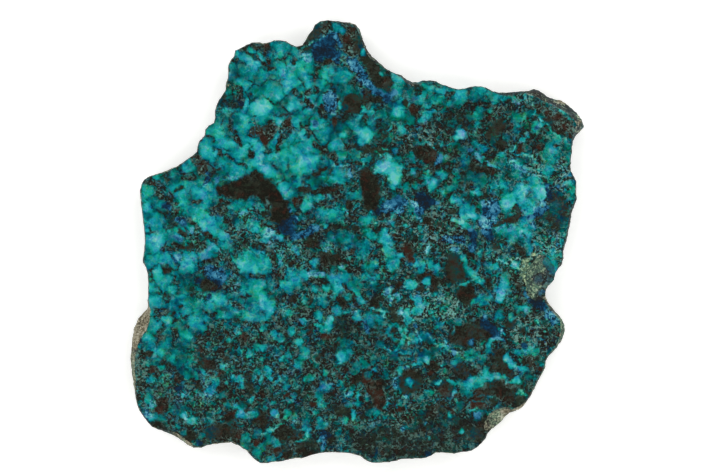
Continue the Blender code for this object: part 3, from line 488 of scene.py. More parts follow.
        (27, -21.8, 1.5), (-38.1, -34.8, 0.9, -36.8, -35.2, 0.7), (-31.4, -36.7, 1),
        (-29, -23.1, 1.2, -27.8, -23.5, 1), (-25, -22.3, 0.7), (-26.1, -21.2, 1), (-34.1, -26.3, 0.8),
        (-30.1, -27, 0.6, -29.8, -28, 0.6), (-25.3, -27.7, 0.6), (-26.1, -28, 0.5), (-24.4, -33.3, 1),
        (-25.5, -30, 0.6), (-21.1, -22.5, 0.4), (-20.6, -25.5, 0.8), (-19.6, -29, 0.3), (-7.3, -22.2, 0.8),
        (-5.5, -25.5, 0.4), (-8.2, -27, 0.5), (-0.5, -26.3, 1, 1, -26.4, 0.9),
        (-18.3, -33.2, 1.1, -18.3, -34.3, 1.3, -17, -34.1, 0.7), (-19.3, -34.3, 0.6),
        (-14, -36, 1.4, -14, -37, 1.3), (-15.3, -36.7, 0.7), (-12, -36, 0.8), (-12.2, -37.5, 0.7),
        (-10.5, -38.7, 1.2), (-13, -40.5, 1), (-10, -40, 1), (14.7, -23.5, 1), (13.3, -23.8, 0.4),
        (19.5, -24.2, 1.5, 20.3, -25.2, 1.3), (22.2, -24.8, 0.8), (7, -31, 0.5), (29.3, -25.3, 0.6),
        (26.5, -27.5, 1.5), (28.8, -29.3, 1.7), (25, -28.5, 1.2), (32, -22.8, 0.8), (31.3, -27.5, 0.5),
        (30, -28, 0.5), (32.5, -29, 0.7), (-4.8, -38, 0.6), (24.3, -34.5, 1, 23.8, -35.3, 1.2),
        (30.3, -0.9, 0.6, 31.6, -2.1, 0.9), (33.3, -0.2, 0.4), (31.8, 1.2, 0.35), (34.5, 1.6, 0.35),
        (36, 1, 0.4), (-28.7, -8.3, 1.2, -27.4, -8.6, 0.8), (-33.3, -1.1, 0.6, -31.6, -1, 0.7),
        (26.3, -22, 1), (27.3, -24, 1.1, 28.8, -24.3, 1), (-3.3, -11, 0.6, -2.5, -12, 0.7),
        (-8.3, 12.7, 0.5, -7.5, 13, 0.6, -6, 14, 0.5), (-1, 4.5, 0.7), (-7.9, -24.3, 0.7),
        (-33.6, 2, 0.5, -32.8, 1.4, 0.6), (-16.4, -2, 0.6), (-13.5, -3.8, 0.5, -12.3, -4.3, 0.5),
        (3.5, -13.2, 0.7)],
    "redBrown": [
        (-17.3, 37.3, 0.6), (-19.2, 36.9, 0.5), (-13.3, 22.7, 0.8), (-4, 23, 0.6), (-13.9, 31, 0.25),
        (11, 24.5, 0.6, 10.5, 25.7, 0.6), (25.3, 23.6, 0.5), (-17.6, 19.2, 0.9), (6.8, 1.2, 0.4),
        (31, 17, 0.8), (34.5, 18, 0.5), (-24.8, -17.3, 0.4), (-6.5, -18.3, 0.7, -4.8, -18.2, 0.6),
        (-21.5, -18.5, 1), (-0.8, -2, 0.5), (9.5, -1, 0.8, 10.3, -3.3, 0.9), (-39, -24.2, 0.6),
        (-36.8, -30.8, 1.2, -37.3, -32, 1), (-26.1, -25.2, 0.8), (-23.7, -32.5, 0.5), (-22.8, -36.5, 0.8),
        (-18, -29, 0.5), (-13.3, -29.2, 0.5), (-8.5, -31, 0.5), (-3.3, -33.2, 0.5), (-3.7, -25.8, 0.5),
        (-11, -37, 0.5), (-19.3, -38.2, 0.6), (-15, -39.8, 0.7), (2, -26.4, 1),
        (3.5, -27.6, 1.3, 4, -29, 1.3, 4.3, -31, 1), (2.5, -28, 1.2), (14.2, -24.8, 0.6), (16.5, -28.6, 1),
        (19.2, -29.2, 0.4), (18.4, -32.3, 0.4), (8.2, -31.8, 0.5), (12.5, -35.8, 0.5), (7.5, -39.5, 0.4),
        (23.3, -28.8, 1, 22.7, -31, 1.2), (34.8, -24.3, 0.6), (-25.3, 9.9, 0.6), (-23, 9.2, 0.4),
        (-28.8, 1.6, 0.35), (-25.8, 7.8, 0.35), (-1.9, 38.4, 0.6), (5.4, 30.2, 0.6), (-38.8, 10.8, 0.35),
        (-34.3, 5.9, 0.35), (-35.4, 7.8, 0.3), (38, 23.6, 0.7), (36, 24.6, 0.5), (39.6, 21.7, 0.7),
        (-18.4, 20.7, 0.6), (12.8, 17, 0.7, 14.2, 16.4, 0.8), (-12.1, 7.9, 0.6, -11.7, 7.3, 0.5)],
    "olive": [
        (-6.5, 23.8, 0.8), (-36.3, 12, 0.6), (-34.5, 9.4, 0.25, -33.3, 10.3, 0.4),
        (-7, 1.8, 0.5, -4.5, 2.7, 0.5, 0, 2.5, 0.5), (1, 17.5, 0.7, 5.5, 17.3, 0.7), (18, 5.5, 0.7),
        (-9, -11.3, 0.6), (6.5, -12.5, 0.6, 7.5, -15, 0.8), (12.6, -1.2, 0.35), (26.3, -19, 0.5),
        (-31.7, -38.8, 0.5), (-25.5, -25.6, 0.7), (-20.4, -27.3, 0.9, -20.3, -28.7, 0.8), (-11.2, -28.8, 0.7),
        (-3.5, -32, 1.2, -2, -32.3, 1), (-8.5, -38.5, 1.2), (-13.5, -39, 0.9), (2.5, -31, 0.5),
        (14.8, -25.8, 0.6), (13.3, -27, 0.4), (31, -30, 1.2), (26, -30.5, 0.8), (16.3, -32.2, 0.8),
        (34.4, -22, 0.6), (-29.6, -21.6, 0.6), (9, 26.5, 0.7)],
    "thread": [
        (31.5, 28.2, 0.2, 34.5, 27.3, 0.2, 36, 26.3, 0.2, 38.5, 25.2, 0.2, 41, 23.3, 0.2),
        (37.5, 25.8, 0.3, 40.5, 23.5, 0.3), (33.7, 24.2, 0.2, 36.5, 21.8, 0.2, 38.5, 19.7, 0.2),
        (-0.8, 10.8, 0.2, 0.2, 11.8, 0.2), (-4.5, 14.5, 0.2, -1.5, 14.3, 0.2), (-2.5, 6.7, 0.2, -1, 5, 0.2),
        (3.5, 17, 0.2, 5, 16, 0.2), (4.5, 17.8, 0.2, 6, 17.5, 0.2), (13.3, 18.8, 0.2, 15, 17.3, 0.2),
        (3.5, 3.5, 0.2, 5.5, 4, 0.2, 7, 5, 0.2), (20, 10, 0.2, 22.5, 9, 0.2),
        (28, 17, 0.2, 29.5, 17.3, 0.2, 31.5, 19, 0.2), (30, 16.4, 0.2, 32.4, 16.4, 0.2),
        (-2.5, -13.5, 0.25, 0, -13.3, 0.25), (2.5, -12.8, 0.25, 5, -13.3, 0.25, 5.5, -14.5, 0.25),
        (18.7, -8.3, 0.2, 19.8, -8.3, 0.2),
        (13.5, -17.5, 0.3, 15, -19.3, 0.3, 16.5, -19.5, 0.3, 17.5, -20.7, 0.3, 19.3, -21.3, 0.3),
        (16, -18, 0.25, 17, -19.5, 0.25), (18.2, -17.5, 0.2, 18.6, -16, 0.2),
        (15.8, -26.5, 0.25, 15.3, -27.3, 0.25), (6, -29.8, 0.25, 5.5, -30.5, 0.25, 5.3, -31.3, 0.25),
        (30.5, -29, 0.2, 31.5, -28.6, 0.2, 32.3, -29.3, 0.2),
        (22.8, -29.5, 0.15, 24, -29.3, 0.15, 25.5, -29.6, 0.15, 26.3, -29.5, 0.15, 26.5, -30, 0.15),
        (21.2, -30.7, 0.15, 22, -30.4, 0.15, 23.8, -30.2, 0.15), (21, -32, 0.15, 23, -31.8, 0.15),
        (28.3, -26.5, 0.3, 29.3, -26.9, 0.2),
        (-18, -36.5, 0.3, -16.5, -35.8, 0.3, -15, -34.9, 0.3, -14, -34.7, 0.25),
        (-11.5, -38.2, 0.25, -9.8, -37.5, 0.25, -9.5, -36.5, 0.25, -8.7, -35.5, 0.25),
        (7.3, -35.8, 0.15, 7.7, -35.2, 0.15), (18.5, -30, 0.25, 18.9, -30.3, 0.2),
        (13.7, -37.6, 0.2, 14.2, -37.4, 0.2), (27, -3.2, 0.15, 28.6, -4.4, 0.15),
        (25.8, -2.8, 0.15, 27.2, -4, 0.15), (29.2, -3.4, 0.15, 30.5, -5.2, 0.15),
        (26.8, -0.6, 0.15, 28, -1.7, 0.15), (22.3, 17.6, 0.2, 24.3, 15.8, 0.25, 26.3, 14, 0.2),
        (24.8, 14.4, 0.2, 28, 17, 0.2), (29.5, 15.2, 0.3, 32, 14.2, 0.3), (32.5, 16.2, 0.2, 34.5, 17, 0.2),
        (33.6, 25.8, 0.2, 33.8, 24.2, 0.2), (31.8, 27.2, 0.2, 33.6, 26, 0.2),
        (-10.2, 37.1, 0.16, -4.8, 39.8, 0.16), (0.2, 23.6, 0.35, 1, 24.8, 0.3),
        (32.3, -16.4, 0.15, 32.5, -17.3, 0.15), (32.6, -18, 0.15, 32.5, -19, 0.15),
        (35.5, -17.2, 0.15, 36.8, -17.7, 0.15), (35.1, -18.5, 0.15, 35.9, -19.5, 0.15),
        (34.3, -14.9, 0.15, 34.8, -16.1, 0.15), (8.2, -12.6, 0.25, 9, -14.6, 0.25, 9.3, -17, 0.25),
        (9.2, -17.6, 0.25, 9.8, -19.4, 0.25), (6.2, -10.8, 0.22, 6.6, -12.2, 0.22),
        (9.8, -14.2, 0.2, 11, -15.2, 0.2), (5, -20, 0.2, 6.4, -20.8, 0.2), (11.2, -17, 0.22, 12.2, -19, 0.22),
        (0.6, 24.2, 0.3, 1.1, 25.6, 0.22)],
    "crack": [
        (-8, 30.5, 0.3, -7.6, 32, 0.3), (-9.8, 27, 0.3, -8.5, 25.8, 0.4), (14.5, 25.8, 0.5, 15.5, 25.5, 0.5),
        (10.5, 29.7, 0.3, 11.5, 29.5, 0.3), (17, 27.5, 0.5, 18.3, 28.3, 0.5), (21, 26.2, 0.4, 25, 26, 0.4),
        (-33, 12.3, 0.5, -31, 12, 0.5), (-25, 16.5, 0.35, -22, 14.5, 0.35, -21, 14.3, 0.3),
        (-24.3, 22, 0.35, -23, 20, 0.35, -22, 18.3, 0.35), (-27, 17.8, 0.3, -25.8, 16.5, 0.3),
        (-8, 18.5, 0.4, -6.5, 17.5, 0.5, -4.5, 16.3, 0.5, -3.8, 15, 0.5), (-9.5, 21.5, 0.3, -9, 20, 0.3),
        (-20.5, 17.3, 0.35, -19.7, 16, 0.4), (-17.3, 16.8, 0.25, -16.5, 17.3, 0.25),
        (-2.5, 15.3, 0.4, 0.5, 14.8, 0.4), (-5.2, 7.5, 0.4, -3.7, 8.2, 0.4), (-9.3, 4.2, 0.4, -8.8, 3.7, 0.4),
        (9, 13.5, 0.4, 9.3, 12, 0.4), (8, 3.5, 0.5, 8, 2.3, 0.5), (-34.7, -6.5, 0.25, -34, -9, 0.3),
        (-18.2, -18.8, 0.4, -17, -19, 0.4), (-2.5, -8.5, 0.3, -1.3, -9.8, 0.3, -0.3, -10.5, 0.3),
        (24.1, -2, 0.25, 24, -4, 0.25), (-14.7, 19.5, 0.4, -13, 20.8, 0.4, -12, 21.3, 0.3),
        (-15.2, 17.5, 0.35, -14.5, 19, 0.35), (-37.5, -17, 0.45, -37, -18.3, 0.5),
        (-32, -31.2, 0.4, -31, -32.3, 0.5, -30, -33, 0.4), (-17.5, 3, 0.3, -15.5, 2.9, 0.35),
        (-20, -6.3, 0.3, -17.5, -6.6, 0.35),
        (-19.5, -0.3, 0.3, -17.5, -1.6, 0.35, -16, -2.6, 0.4, -15.4, -4, 0.4, -15.3, -8.5, 0.35),
        (-29, -4, 0.3, -27, -3.7, 0.35, -25.7, -2.8, 0.35, -24.2, -4.1, 0.3, -22.8, -5.8, 0.3),
        (-28.4, 6, 0.3, -26.6, 6.6, 0.3, -25, 7.2, 0.35), (-31, 7.5, 0.2, -29.6, 7.8, 0.2),
        (-18.6, 36.8, 0.22, -16.6, 34.2, 0.3),
        (-21, 36, 0.22, -19.2, 34.8, 0.3, -17.4, 33.4, 0.32, -15.6, 32.7, 0.3),
        (23, 14.4, 0.5, 25.2, 14, 0.5), (-15.5, -15, 0.3, -13.7, -16.2, 0.3),
        (-11.8, -14.8, 0.4, -11.4, -15.9, 0.4),
        (-30.3, 2.4, 0.3, -29.5, 2, 0.4, -27.5, 0.5, 0.4, -26.5, -0.8, 0.3)],
    "umber": [
        (1, 38, 1, 2, 34.5, 1.2, 3.5, 32, 1.3, 5.5, 30, 1.4, 6, 28.8, 0.8), (36.5, 22.5, 1.2),
        (33.5, 28.2, 0.8, 36, 27.6, 0.8), (27, 22, 1.3, 25.2, 20, 1.2), (22.5, -36.5, 1.6),
        (-28, -36.4, 1.2, -25.8, -35.9, 1.3, -24.2, -36, 1.2), (-34.5, -36.9, 0.8), (-32.5, -37.9, 0.9),
        (0.4, 38.2, 1.3, 0.5, 36.4, 1), (-9.8, 36.3, 0.4, -8.8, 36.8, 0.3), (29.3, -15.7, 1),
        (31.8, -16.6, 0.8), (-9.2, 38.6, 0.7, -7.8, 40, 1.2), (26.5, -0.8, 0.8),
        (16.7, -27.6, 1.4, 17.3, -28.4, 1.1),
        (26, 3.1, 0.4, 28.2, 3.9, 0.45, 30.4, 4.5, 0.55, 31, 5.3, 0.55, 30.2, 6.3, 0.5)],
    "shade": [
        (17, 22.5, 1.3, 21, 22.5, 1.2), (-3.3, -15.5, 1.3, -1.6, -15.5, 1.3), (-2.2, -17, 1.2), (4, -17, 1.2),
        (4.2, 22.6, 0.5, 5.4, 22, 0.6, 4.2, 19.8, 0.6), (-3.2, 23.7, 1.1), (4.3, 22.3, 0.9, 5.2, 20.6, 0.8),
        (-35.4, 4.8, 0.9, -35.2, 3, 0.9), (-26.2, 26.9, 1.1, -22.8, 26.3, 1.2), (10.3, 0.8, 0.9),
        (16, -35, 1.5), (11.5, 28.4, 0.8)],
    "blueLace": [
        (-5.2, 27.4, 1.3, -4.8, 25.6, 1.2), (-1.3, 34.2, 0.8, 0.2, 31.6, 0.7, 1.5, 29.6, 0.6),
        (-28, -5.5, 1.2, -26, -6, 1), (24.3, 3.2, 1.2), (16.5, 0.5, 0.8, 20, 0.2, 0.8), (-33.5, 4, 0.8),
        (8, 6.3, 1.2), (25.5, 7, 1.2), (36.3, -13.5, 0.9, 37.5, -15.1, 0.9)],
    "disc": [(-1.2, 26.4, 2.05), (10, -26.7, 2.2), (18.6, -3.8, 1.7, 18.9, -6.2, 1.8)],
    "black": [
        (-25.8, 9.6, 0.9, -23.5, 9.6, 1.5, -21, 10, 1.8, -18.8, 10.6, 2.1, -17, 9.2, 1.9, -15.2, 7, 2.1,
         -14.8, 5, 1.9), (1.8, 12.5, 1.6, 2.8, 9.5, 1.9, 2.8, 7.3, 1.6), (20.4, -9.9, 1.6, 20.9, -10.4, 1.6),
        (12.4, 17, 1.2, 13.6, 16.5, 1.8)],
    "tawny": [
        (27.5, -28, 2.4), (31, -8, 1.1), (-30.5, 15.5, 1, -29.5, 14, 1.3), (16, -32, 1.8),
        (33.5, -22.8, 1.4, 34.5, -22, 1.1), (-29.5, -21.5, 1.4),
        (-1.6, 40.6, 1.2, -1.7, 38.6, 1.7, -1.3, 36.6, 1.4),
        (34.8, 25.3, 1, 37, 24, 1.8, 39, 22.6, 1.9, 40.5, 21.3, 1.1), (26, -23.7, 0.8), (-6.3, 41, 1),
        (-18.9, 20.7, 1.5, -17, 20.3, 1.4)],
    "dimTeal": [
        (19.3, -22.8, 0.7), (18.5, 18.5, 0.5, 20, 17.5, 0.5), (21.4, 23.5, 0.7), (15, -20.5, 0.7),
        (7.8, 24.5, 2), (7, -22, 0.9), (-7.5, 12, 1, -8, 10.8, 1), (-21.5, -31.3, 0.9), (5.3, -25.3, 0.9),
        (-22.7, 23.1, 0.8), (12.5, -21.8, 1.1, 13.5, -22.3, 0.8), (20.5, -8.2, 0.5)],
}

# weathered crust on the skin outside the polish: how thick it lies, and how green it is
crustKinds = {
    "tanCrust": {"soft": 0.6, "crust": 0.9, "moss": 0.1},
    "greyCrust": {"soft": 0.6, "crust": 0.66, "moss": 0.5},
    "oliveCrust": {"soft": 0.6, "crust": 0.24, "moss": 0.6},
    "mossCrust": {"soft": 0.6, "crust": 0.56, "moss": 0.9},
    "bareRock": {"soft": 0.6, "crust": 0.05, "moss": 0.5},
    "freshRock": {"soft": 0.6, "crust": -0.4, "moss": 0.5},
    "mossDust": {"soft": 0.9, "crust": 0.84, "moss": 1.0},
    "tanDust": {"soft": 0.9, "crust": 0.8, "moss": 0.35},
}

crustMarks = {
    "tanCrust": [
        (-40.4, -13, 1.4, -41.4, -16, 1.8, -42.2, -19, 1.1), (38.5, 27.1, 0.6, 39.7, 26.6, 0.6),
        (29.8, -32.2, 0.4, 31.5, -31.6, 0.4), (42.5, 22.5, 0.5), (27.6, -32.6, 0.5, 28.8, -32.4, 0.4)],
    "oliveCrust": [
        (26.5, 28.4, 1, 34.6, 28.4, 1.2, 37.5, 26.8, 1.2, 41, 24.6, 1.2, 42.6, 22.4, 1.3),
        (9.5, 30.8, 1.2, 12, 30.5, 1.2), (38.8, -14.8, 1.3, 39.4, -18.5, 1.5, 36.5, -23, 1),
        (41.2, 8, 1, 40, 0, 1, 39, -4, 1), (35.4, -25, 1, 33, -29.6, 1),
        (-35.5, -37, 1.4, -31.7, -38.9, 1.4)],
    "mossCrust": [
        (33.2, -3.6, 1.3, 33.2, -9.8, 1.7), (35, -4.2, 1.3), (42.2, 23.8, 0.4), (-32.9, -37.9, 0.3),
        (31.3, -4.6, 0.9),
        (38.6, -14.4, 0.7, 39.6, -17, 0.9, 38.4, -20, 0.7, 36.6, -22.6, 0.7, 35.6, -25, 0.6)],
    "freshRock": [
        (26, 28.3, 0.9, 31.3, 28.2, 0.7), (13, 30.4, 0.9, 24, 29.4, 0.9), (36.7, -3.6, 1.3, 37.5, -5, 0.9),
        (35.2, -9.6, 0.6)],
    "bareRock": [(34.6, -7.1, 0.9, 37, -6.9, 0.9)],
    "greyCrust": [
        (26.2, -34, 2.2, 28, -32.8, 1.3), (-42.5, -21, 0.8, -42.8, -27.5, 0.8),
        (36.2, -11, 0.5, 38.2, -14, 0.5)],
    "mossDust": [(32, -3.7, 0.9, 31.8, -5.6, 0.8, 32, -7.6, 0.7), (33.6, -2.4, 0.7)],
    "tanDust": [
        (-34.8, -36.9, 0.4, -33, -37.9, 0.45, -31.5, -38.6, 0.4), (38.5, -17.8, 0.4), (-24.4, 29.6, 0.35)],
}

markShape = {
    "softLeast": 0.30,                      # mm over which any mark's edge fades
    "wanderSize": 2.6, "wander": 0.7,       # mm, over what length and how far a broad mark's outline strays
    "fineWanderSize": 1.1, "fineWander": 0.5,
    "raggedSize": 0.9, "ragged": 0.28,      # mm, this breaks thin marks into dashes
    "broadFrom": 2.5,                       # marks this wide stray the whole way
    "depthDrift": 7.0, "depthSize": 14.0,   # the veins lean, so deeper cuts through the rock differ
    "margin": 1.0,                          # mm searched past the end of a mark's fade
}
farAway = 1e9


def smooth(low, high, value):
    share = np.clip((value - low) / (high - low), 0.0, 1.0)
    return share * share * (3 - 2 * share)


def markDistance(places, mark):
    spots = [mark[i:i + 3] for i in range(0, len(mark), 3)]
    if len(spots) == 1:
        x, y, radius = spots[0]
        return np.hypot(places[:, 0] - x, places[:, 1] - y) - radius
    nearest = np.full(len(places), farAway)
    for (ax, ay, ar), (bx, by, br) in zip(spots, spots[1:]):
        dx, dy = bx - ax, by - ay
        share = ((places[:, 0] - ax) * dx + (places[:, 1] - ay) * dy) / (dx * dx + dy * dy)
        share = np.clip(share, 0.0, 1.0)
        away = np.hypot(places[:, 0] - ax - share * dx, places[:, 1] - ay - share * dy)
        nearest = np.minimum(nearest, away - ar - share * (br - ar))
    return nearest


def strayedPlaces(mesh, top):
    places, broad = np.empty((len(mesh.vertices), 2)), np.empty((len(mesh.vertices), 2))
    ragged = np.empty(len(mesh.vertices))
    for i, vertex in enumerate(mesh.vertices):
        place = vertex.co / mm
        depth = (top / mm - place.z) / (top / mm)
        lean = noise.noise_vector(place / markShape["depthSize"]) * markShape["depthDrift"] * depth
        fine = noise.noise_vector(place / markShape["fineWanderSize"]) * markShape["fineWander"]
        places[i] = (place + lean + fine).xy
        broad[i] = (noise.noise_vector(place / markShape["wanderSize"]) * markShape["wander"]).xy
        ragged[i] = noise.noise(place / markShape["raggedSize"]) * markShape["ragged"]
    return places, broad, ragged


def ordered(kinds, kindMarks):
    marks = [(kinds[kind], None, mark) for kind, marks in kindMarks.items() for mark in marks]
    return sorted(marks, key=lambda item: -max(item[2][2::3]))   # small marks lie on broad ones


def near(places, mark, reach):
    kept = np.full(len(places), True)
    for axis in (0, 1):
        along = mark[axis::3]
        kept &= (places[:, axis] > min(along) - reach) & (places[:, axis] < max(along) + reach)
    return np.flatnonzero(kept)


def paintFields(mesh, top):
    places, broad, ragged = strayedPlaces(mesh, top)
    fields = {name: np.full(len(places), value) for name, value in fieldStart.items()}
    zones = [(settings, soft, mark) for settings, soft, marks in rockZones for mark in marks]
    for settings, soft, mark in zones + ordered(rockKinds, rockMarks) + ordered(crustKinds, crustMarks):
        radius = max(mark[2::3])
        soft = soft or markShape["softLeast"] + settings["soft"] * radius
        here = near(places, mark, soft + radius + markShape["margin"])
        if not len(here):
            continue
        strayed = places[here] + broad[here] * min(1.0, radius / markShape["broadFrom"])
        away = markDistance(strayed, mark) + ragged[here] * settings.get("ragged", 1.0)
        share = smooth(soft / 2, -soft / 2, away - settings.get("swell", 0.0))
        for name in settings.keys() & fields.keys():
            fields[name][here] += (settings[name] - fields[name][here]) * share
    for name, values in fields.items():
        mesh.attributes.new(name, "FLOAT", "POINT").data.foreach_set("value", values.astype(np.float32))


def feed(tree, node, inputs):
    # inputs are named in a dictionary, or listed from the first socket on
    for name, value in inputs.items() if isinstance(inputs, dict) else enumerate(inputs):
        if isinstance(value, bpy.types.NodeSocket):
            tree.links.new(value, node.inputs[name])
        else:
            node.inputs[name].default_value = value


def addNode(tree, kind, settings=None, inputs=()):
    node = tree.nodes.new(kind)
    for name, value in (settings or {}).items():
        setattr(node, name, value)
    feed(tree, node, inputs)
    return node


def setRamp(node, stops):
    ramp = node.color_ramp
    while len(ramp.elements) < len(stops):
        ramp.elements.new(1.0)
    for element, (at, colour) in zip(ramp.elements, stops):
        element.position = at
        element.color = linear(colour)


def placeInMm(tree):
    place = addNode(tree, "ShaderNodeTexCoord").outputs["Object"]
    return addNode(tree, vectorMaths, scaled, {0: place, "Scale": 1 / mm}).outputs[0]


maths, vectorMaths, eased = "ShaderNodeMath", "ShaderNodeVectorMath", "ShaderNodeMapRange"
mixed, noised, celled = "ShaderNodeMix", "ShaderNodeTexNoise", "ShaderNodeTexVoronoi"
ramped, bumped, grouped = "ShaderNodeValToRGB", "ShaderNodeBump", "ShaderNodeGroup"
attributed = "ShaderNodeAttribute"
times, plus, timesPlus = {"operation": "MULTIPLY"}, {"operation": "ADD"}, {"operation": "MULTIPLY_ADD"}
minus, absolute, greater = {"operation": "SUBTRACT"}, {"operation": "ABSOLUTE"}, {"operation": "MAXIMUM"}
scaled = {"operation": "SCALE"}
smoothly, asColour = {"interpolation_type": "SMOOTHSTEP"}, {"data_type": "RGBA"}

# each ramp runs from the darkest tone of the rock to the palest
rockLooks = {
    "clean": ((0.0, "#121615"), (0.14, "#101b1a"), (0.24, "#0a2626"), (0.34, "#053233"), (0.44, "#014445"),
              (0.54, "#005556"), (0.64, "#016c6b"), (0.74, "#088683"), (0.84, "#199d9a"), (0.93, "#34aca9"),
              (1.0, "#5ab9b4")),
    "dusty": ((0.0, "#1c1714"), (0.12, "#181b19"), (0.24, "#192725"), (0.38, "#213d3a"), (0.50, "#305652"),
              (0.64, "#41776f"), (0.80, "#5f9f97"), (1.0, "#9cc6bb")),
    "azure": ((0.0, "#1b1b1e"), (0.22, "#111e29"), (0.38, "#0c2e47"), (0.52, "#154c6b"), (0.66, "#296a8a"),
              (0.80, "#4486a0"), (0.92, "#62a4b0"), (1.0, "#86c2c6")),
    "umber": ((0.08, "#14140e"), (0.20, "#212219"), (0.30, "#36342a"), (0.42, "#4a483d")),
    "tanStain": ((0.34, "#3b3323"), (0.50, "#8a7e5f"), (0.66, "#c6bb98")),
    "mossStain": ((0.34, "#26362b"), (0.50, "#5f7d62"), (0.66, "#b4c79a")),
    "matrixRed": "#341e16", "matrixOlive": "#232b20", "flecks": "#7cb0a4",
    "wander": 1.3,   # mm, how far the pattern strays
    "wanderScale": 0.8, "wanderDetail": 3.0, "roughness": 0.6,
    "cloudSwing": 0.12, "patchSwing": 0.10, "speckSwing": 0.31,   # how far each mottling moves the tone
    "chipRise": 0.17, "chipSink": 0.08, "chipCalm": 0.65,         # small clean chips in the peppered matrix
    "clastSize": 3.4, "clastSwing": 0.12, "clastCore": 0.10,
    "crackWidth": 0.085, "crackSharp": 0.2, "crackDepth": 0.34, "crackPepper": 0.55,
    "outlineDepth": 0.20, "outlinePepper": 0.5, "outlineWander": 1.2,
    "dustGrain": 0.22, "dustTurn": 1.2, "hueShift": 0.024, "tintPull": 0.4, "tintFull": 1.3,
    "brownFrom": 0.22, "filamentWidth": 0.030, "filamentShare": 0.75, "fleckGate": 0.5,
    "blueRagged": 1.6, "stainRagged": 0.9,
}

# size in mm, detail, and a shift that keeps one noise from following another
rockNoises = {
    "cloud": (3.0, 2.0, 0.0), "patch": (1.2, 2.0, 31.0), "speck": (0.45, 2.0, 57.0),
    "fleck": (0.60, 2.0, 7.0), "broken": (2.0, 2.0, 19.0), "dust": (1.0, 4.0, 11.0), "tint": (1.0, 3.0, 67.0),
    "gate": (1.5, 2.0, 23.0), "filament": (2.4, 3.0, 51.0), "blueEdge": (0.8, 3.0, 43.0),
    "hue": (3.0, 3.0, 83.0), "fineHue": (0.6, 2.0, 97.0),
}

# the values between which each share grows, and what it grows from and to where that isn't 0 and 1
rockRanges = {
    "cloud": (0.30, 0.70), "patch": (0.34, 0.66), "speck": (0.40, 0.67), "calm": (0.0, 1.0, 1.0, 0.2),
    "core": (0.0, 0.32), "opened": (0.42, 0.60), "inner": (0.30, 0.65, 1.0, 0.0), "outer": (0.02, 0.25),
    "gate": (0.38, 0.60), "chip": (0.49, 0.58), "dust": (0.52, 0.82, 0.0, 0.85),
    "matrix": (0.22, 0.40, 1.0, 0.0), "hue": (0.3, 0.7, 0.455, 0.560), "fineHue": (0.3, 0.7, -0.05, 0.05),
    "turn": (0.0, 1.0, 1.0, 2.4), "tint": (0.0, 1.0, -2.75, 2.25), "warm": (0.2, 0.5, 0.0, 0.92),
    "brownReach": (0.6, 1.0, 0.40, 0.56), "fleck": (0.84, 0.93, 0.0, 0.8), "stretch": (0.46, 0.56),
    "blue": (1.15, 1.45), "stain": (1.12, 1.34, 0.0, 0.9),
}


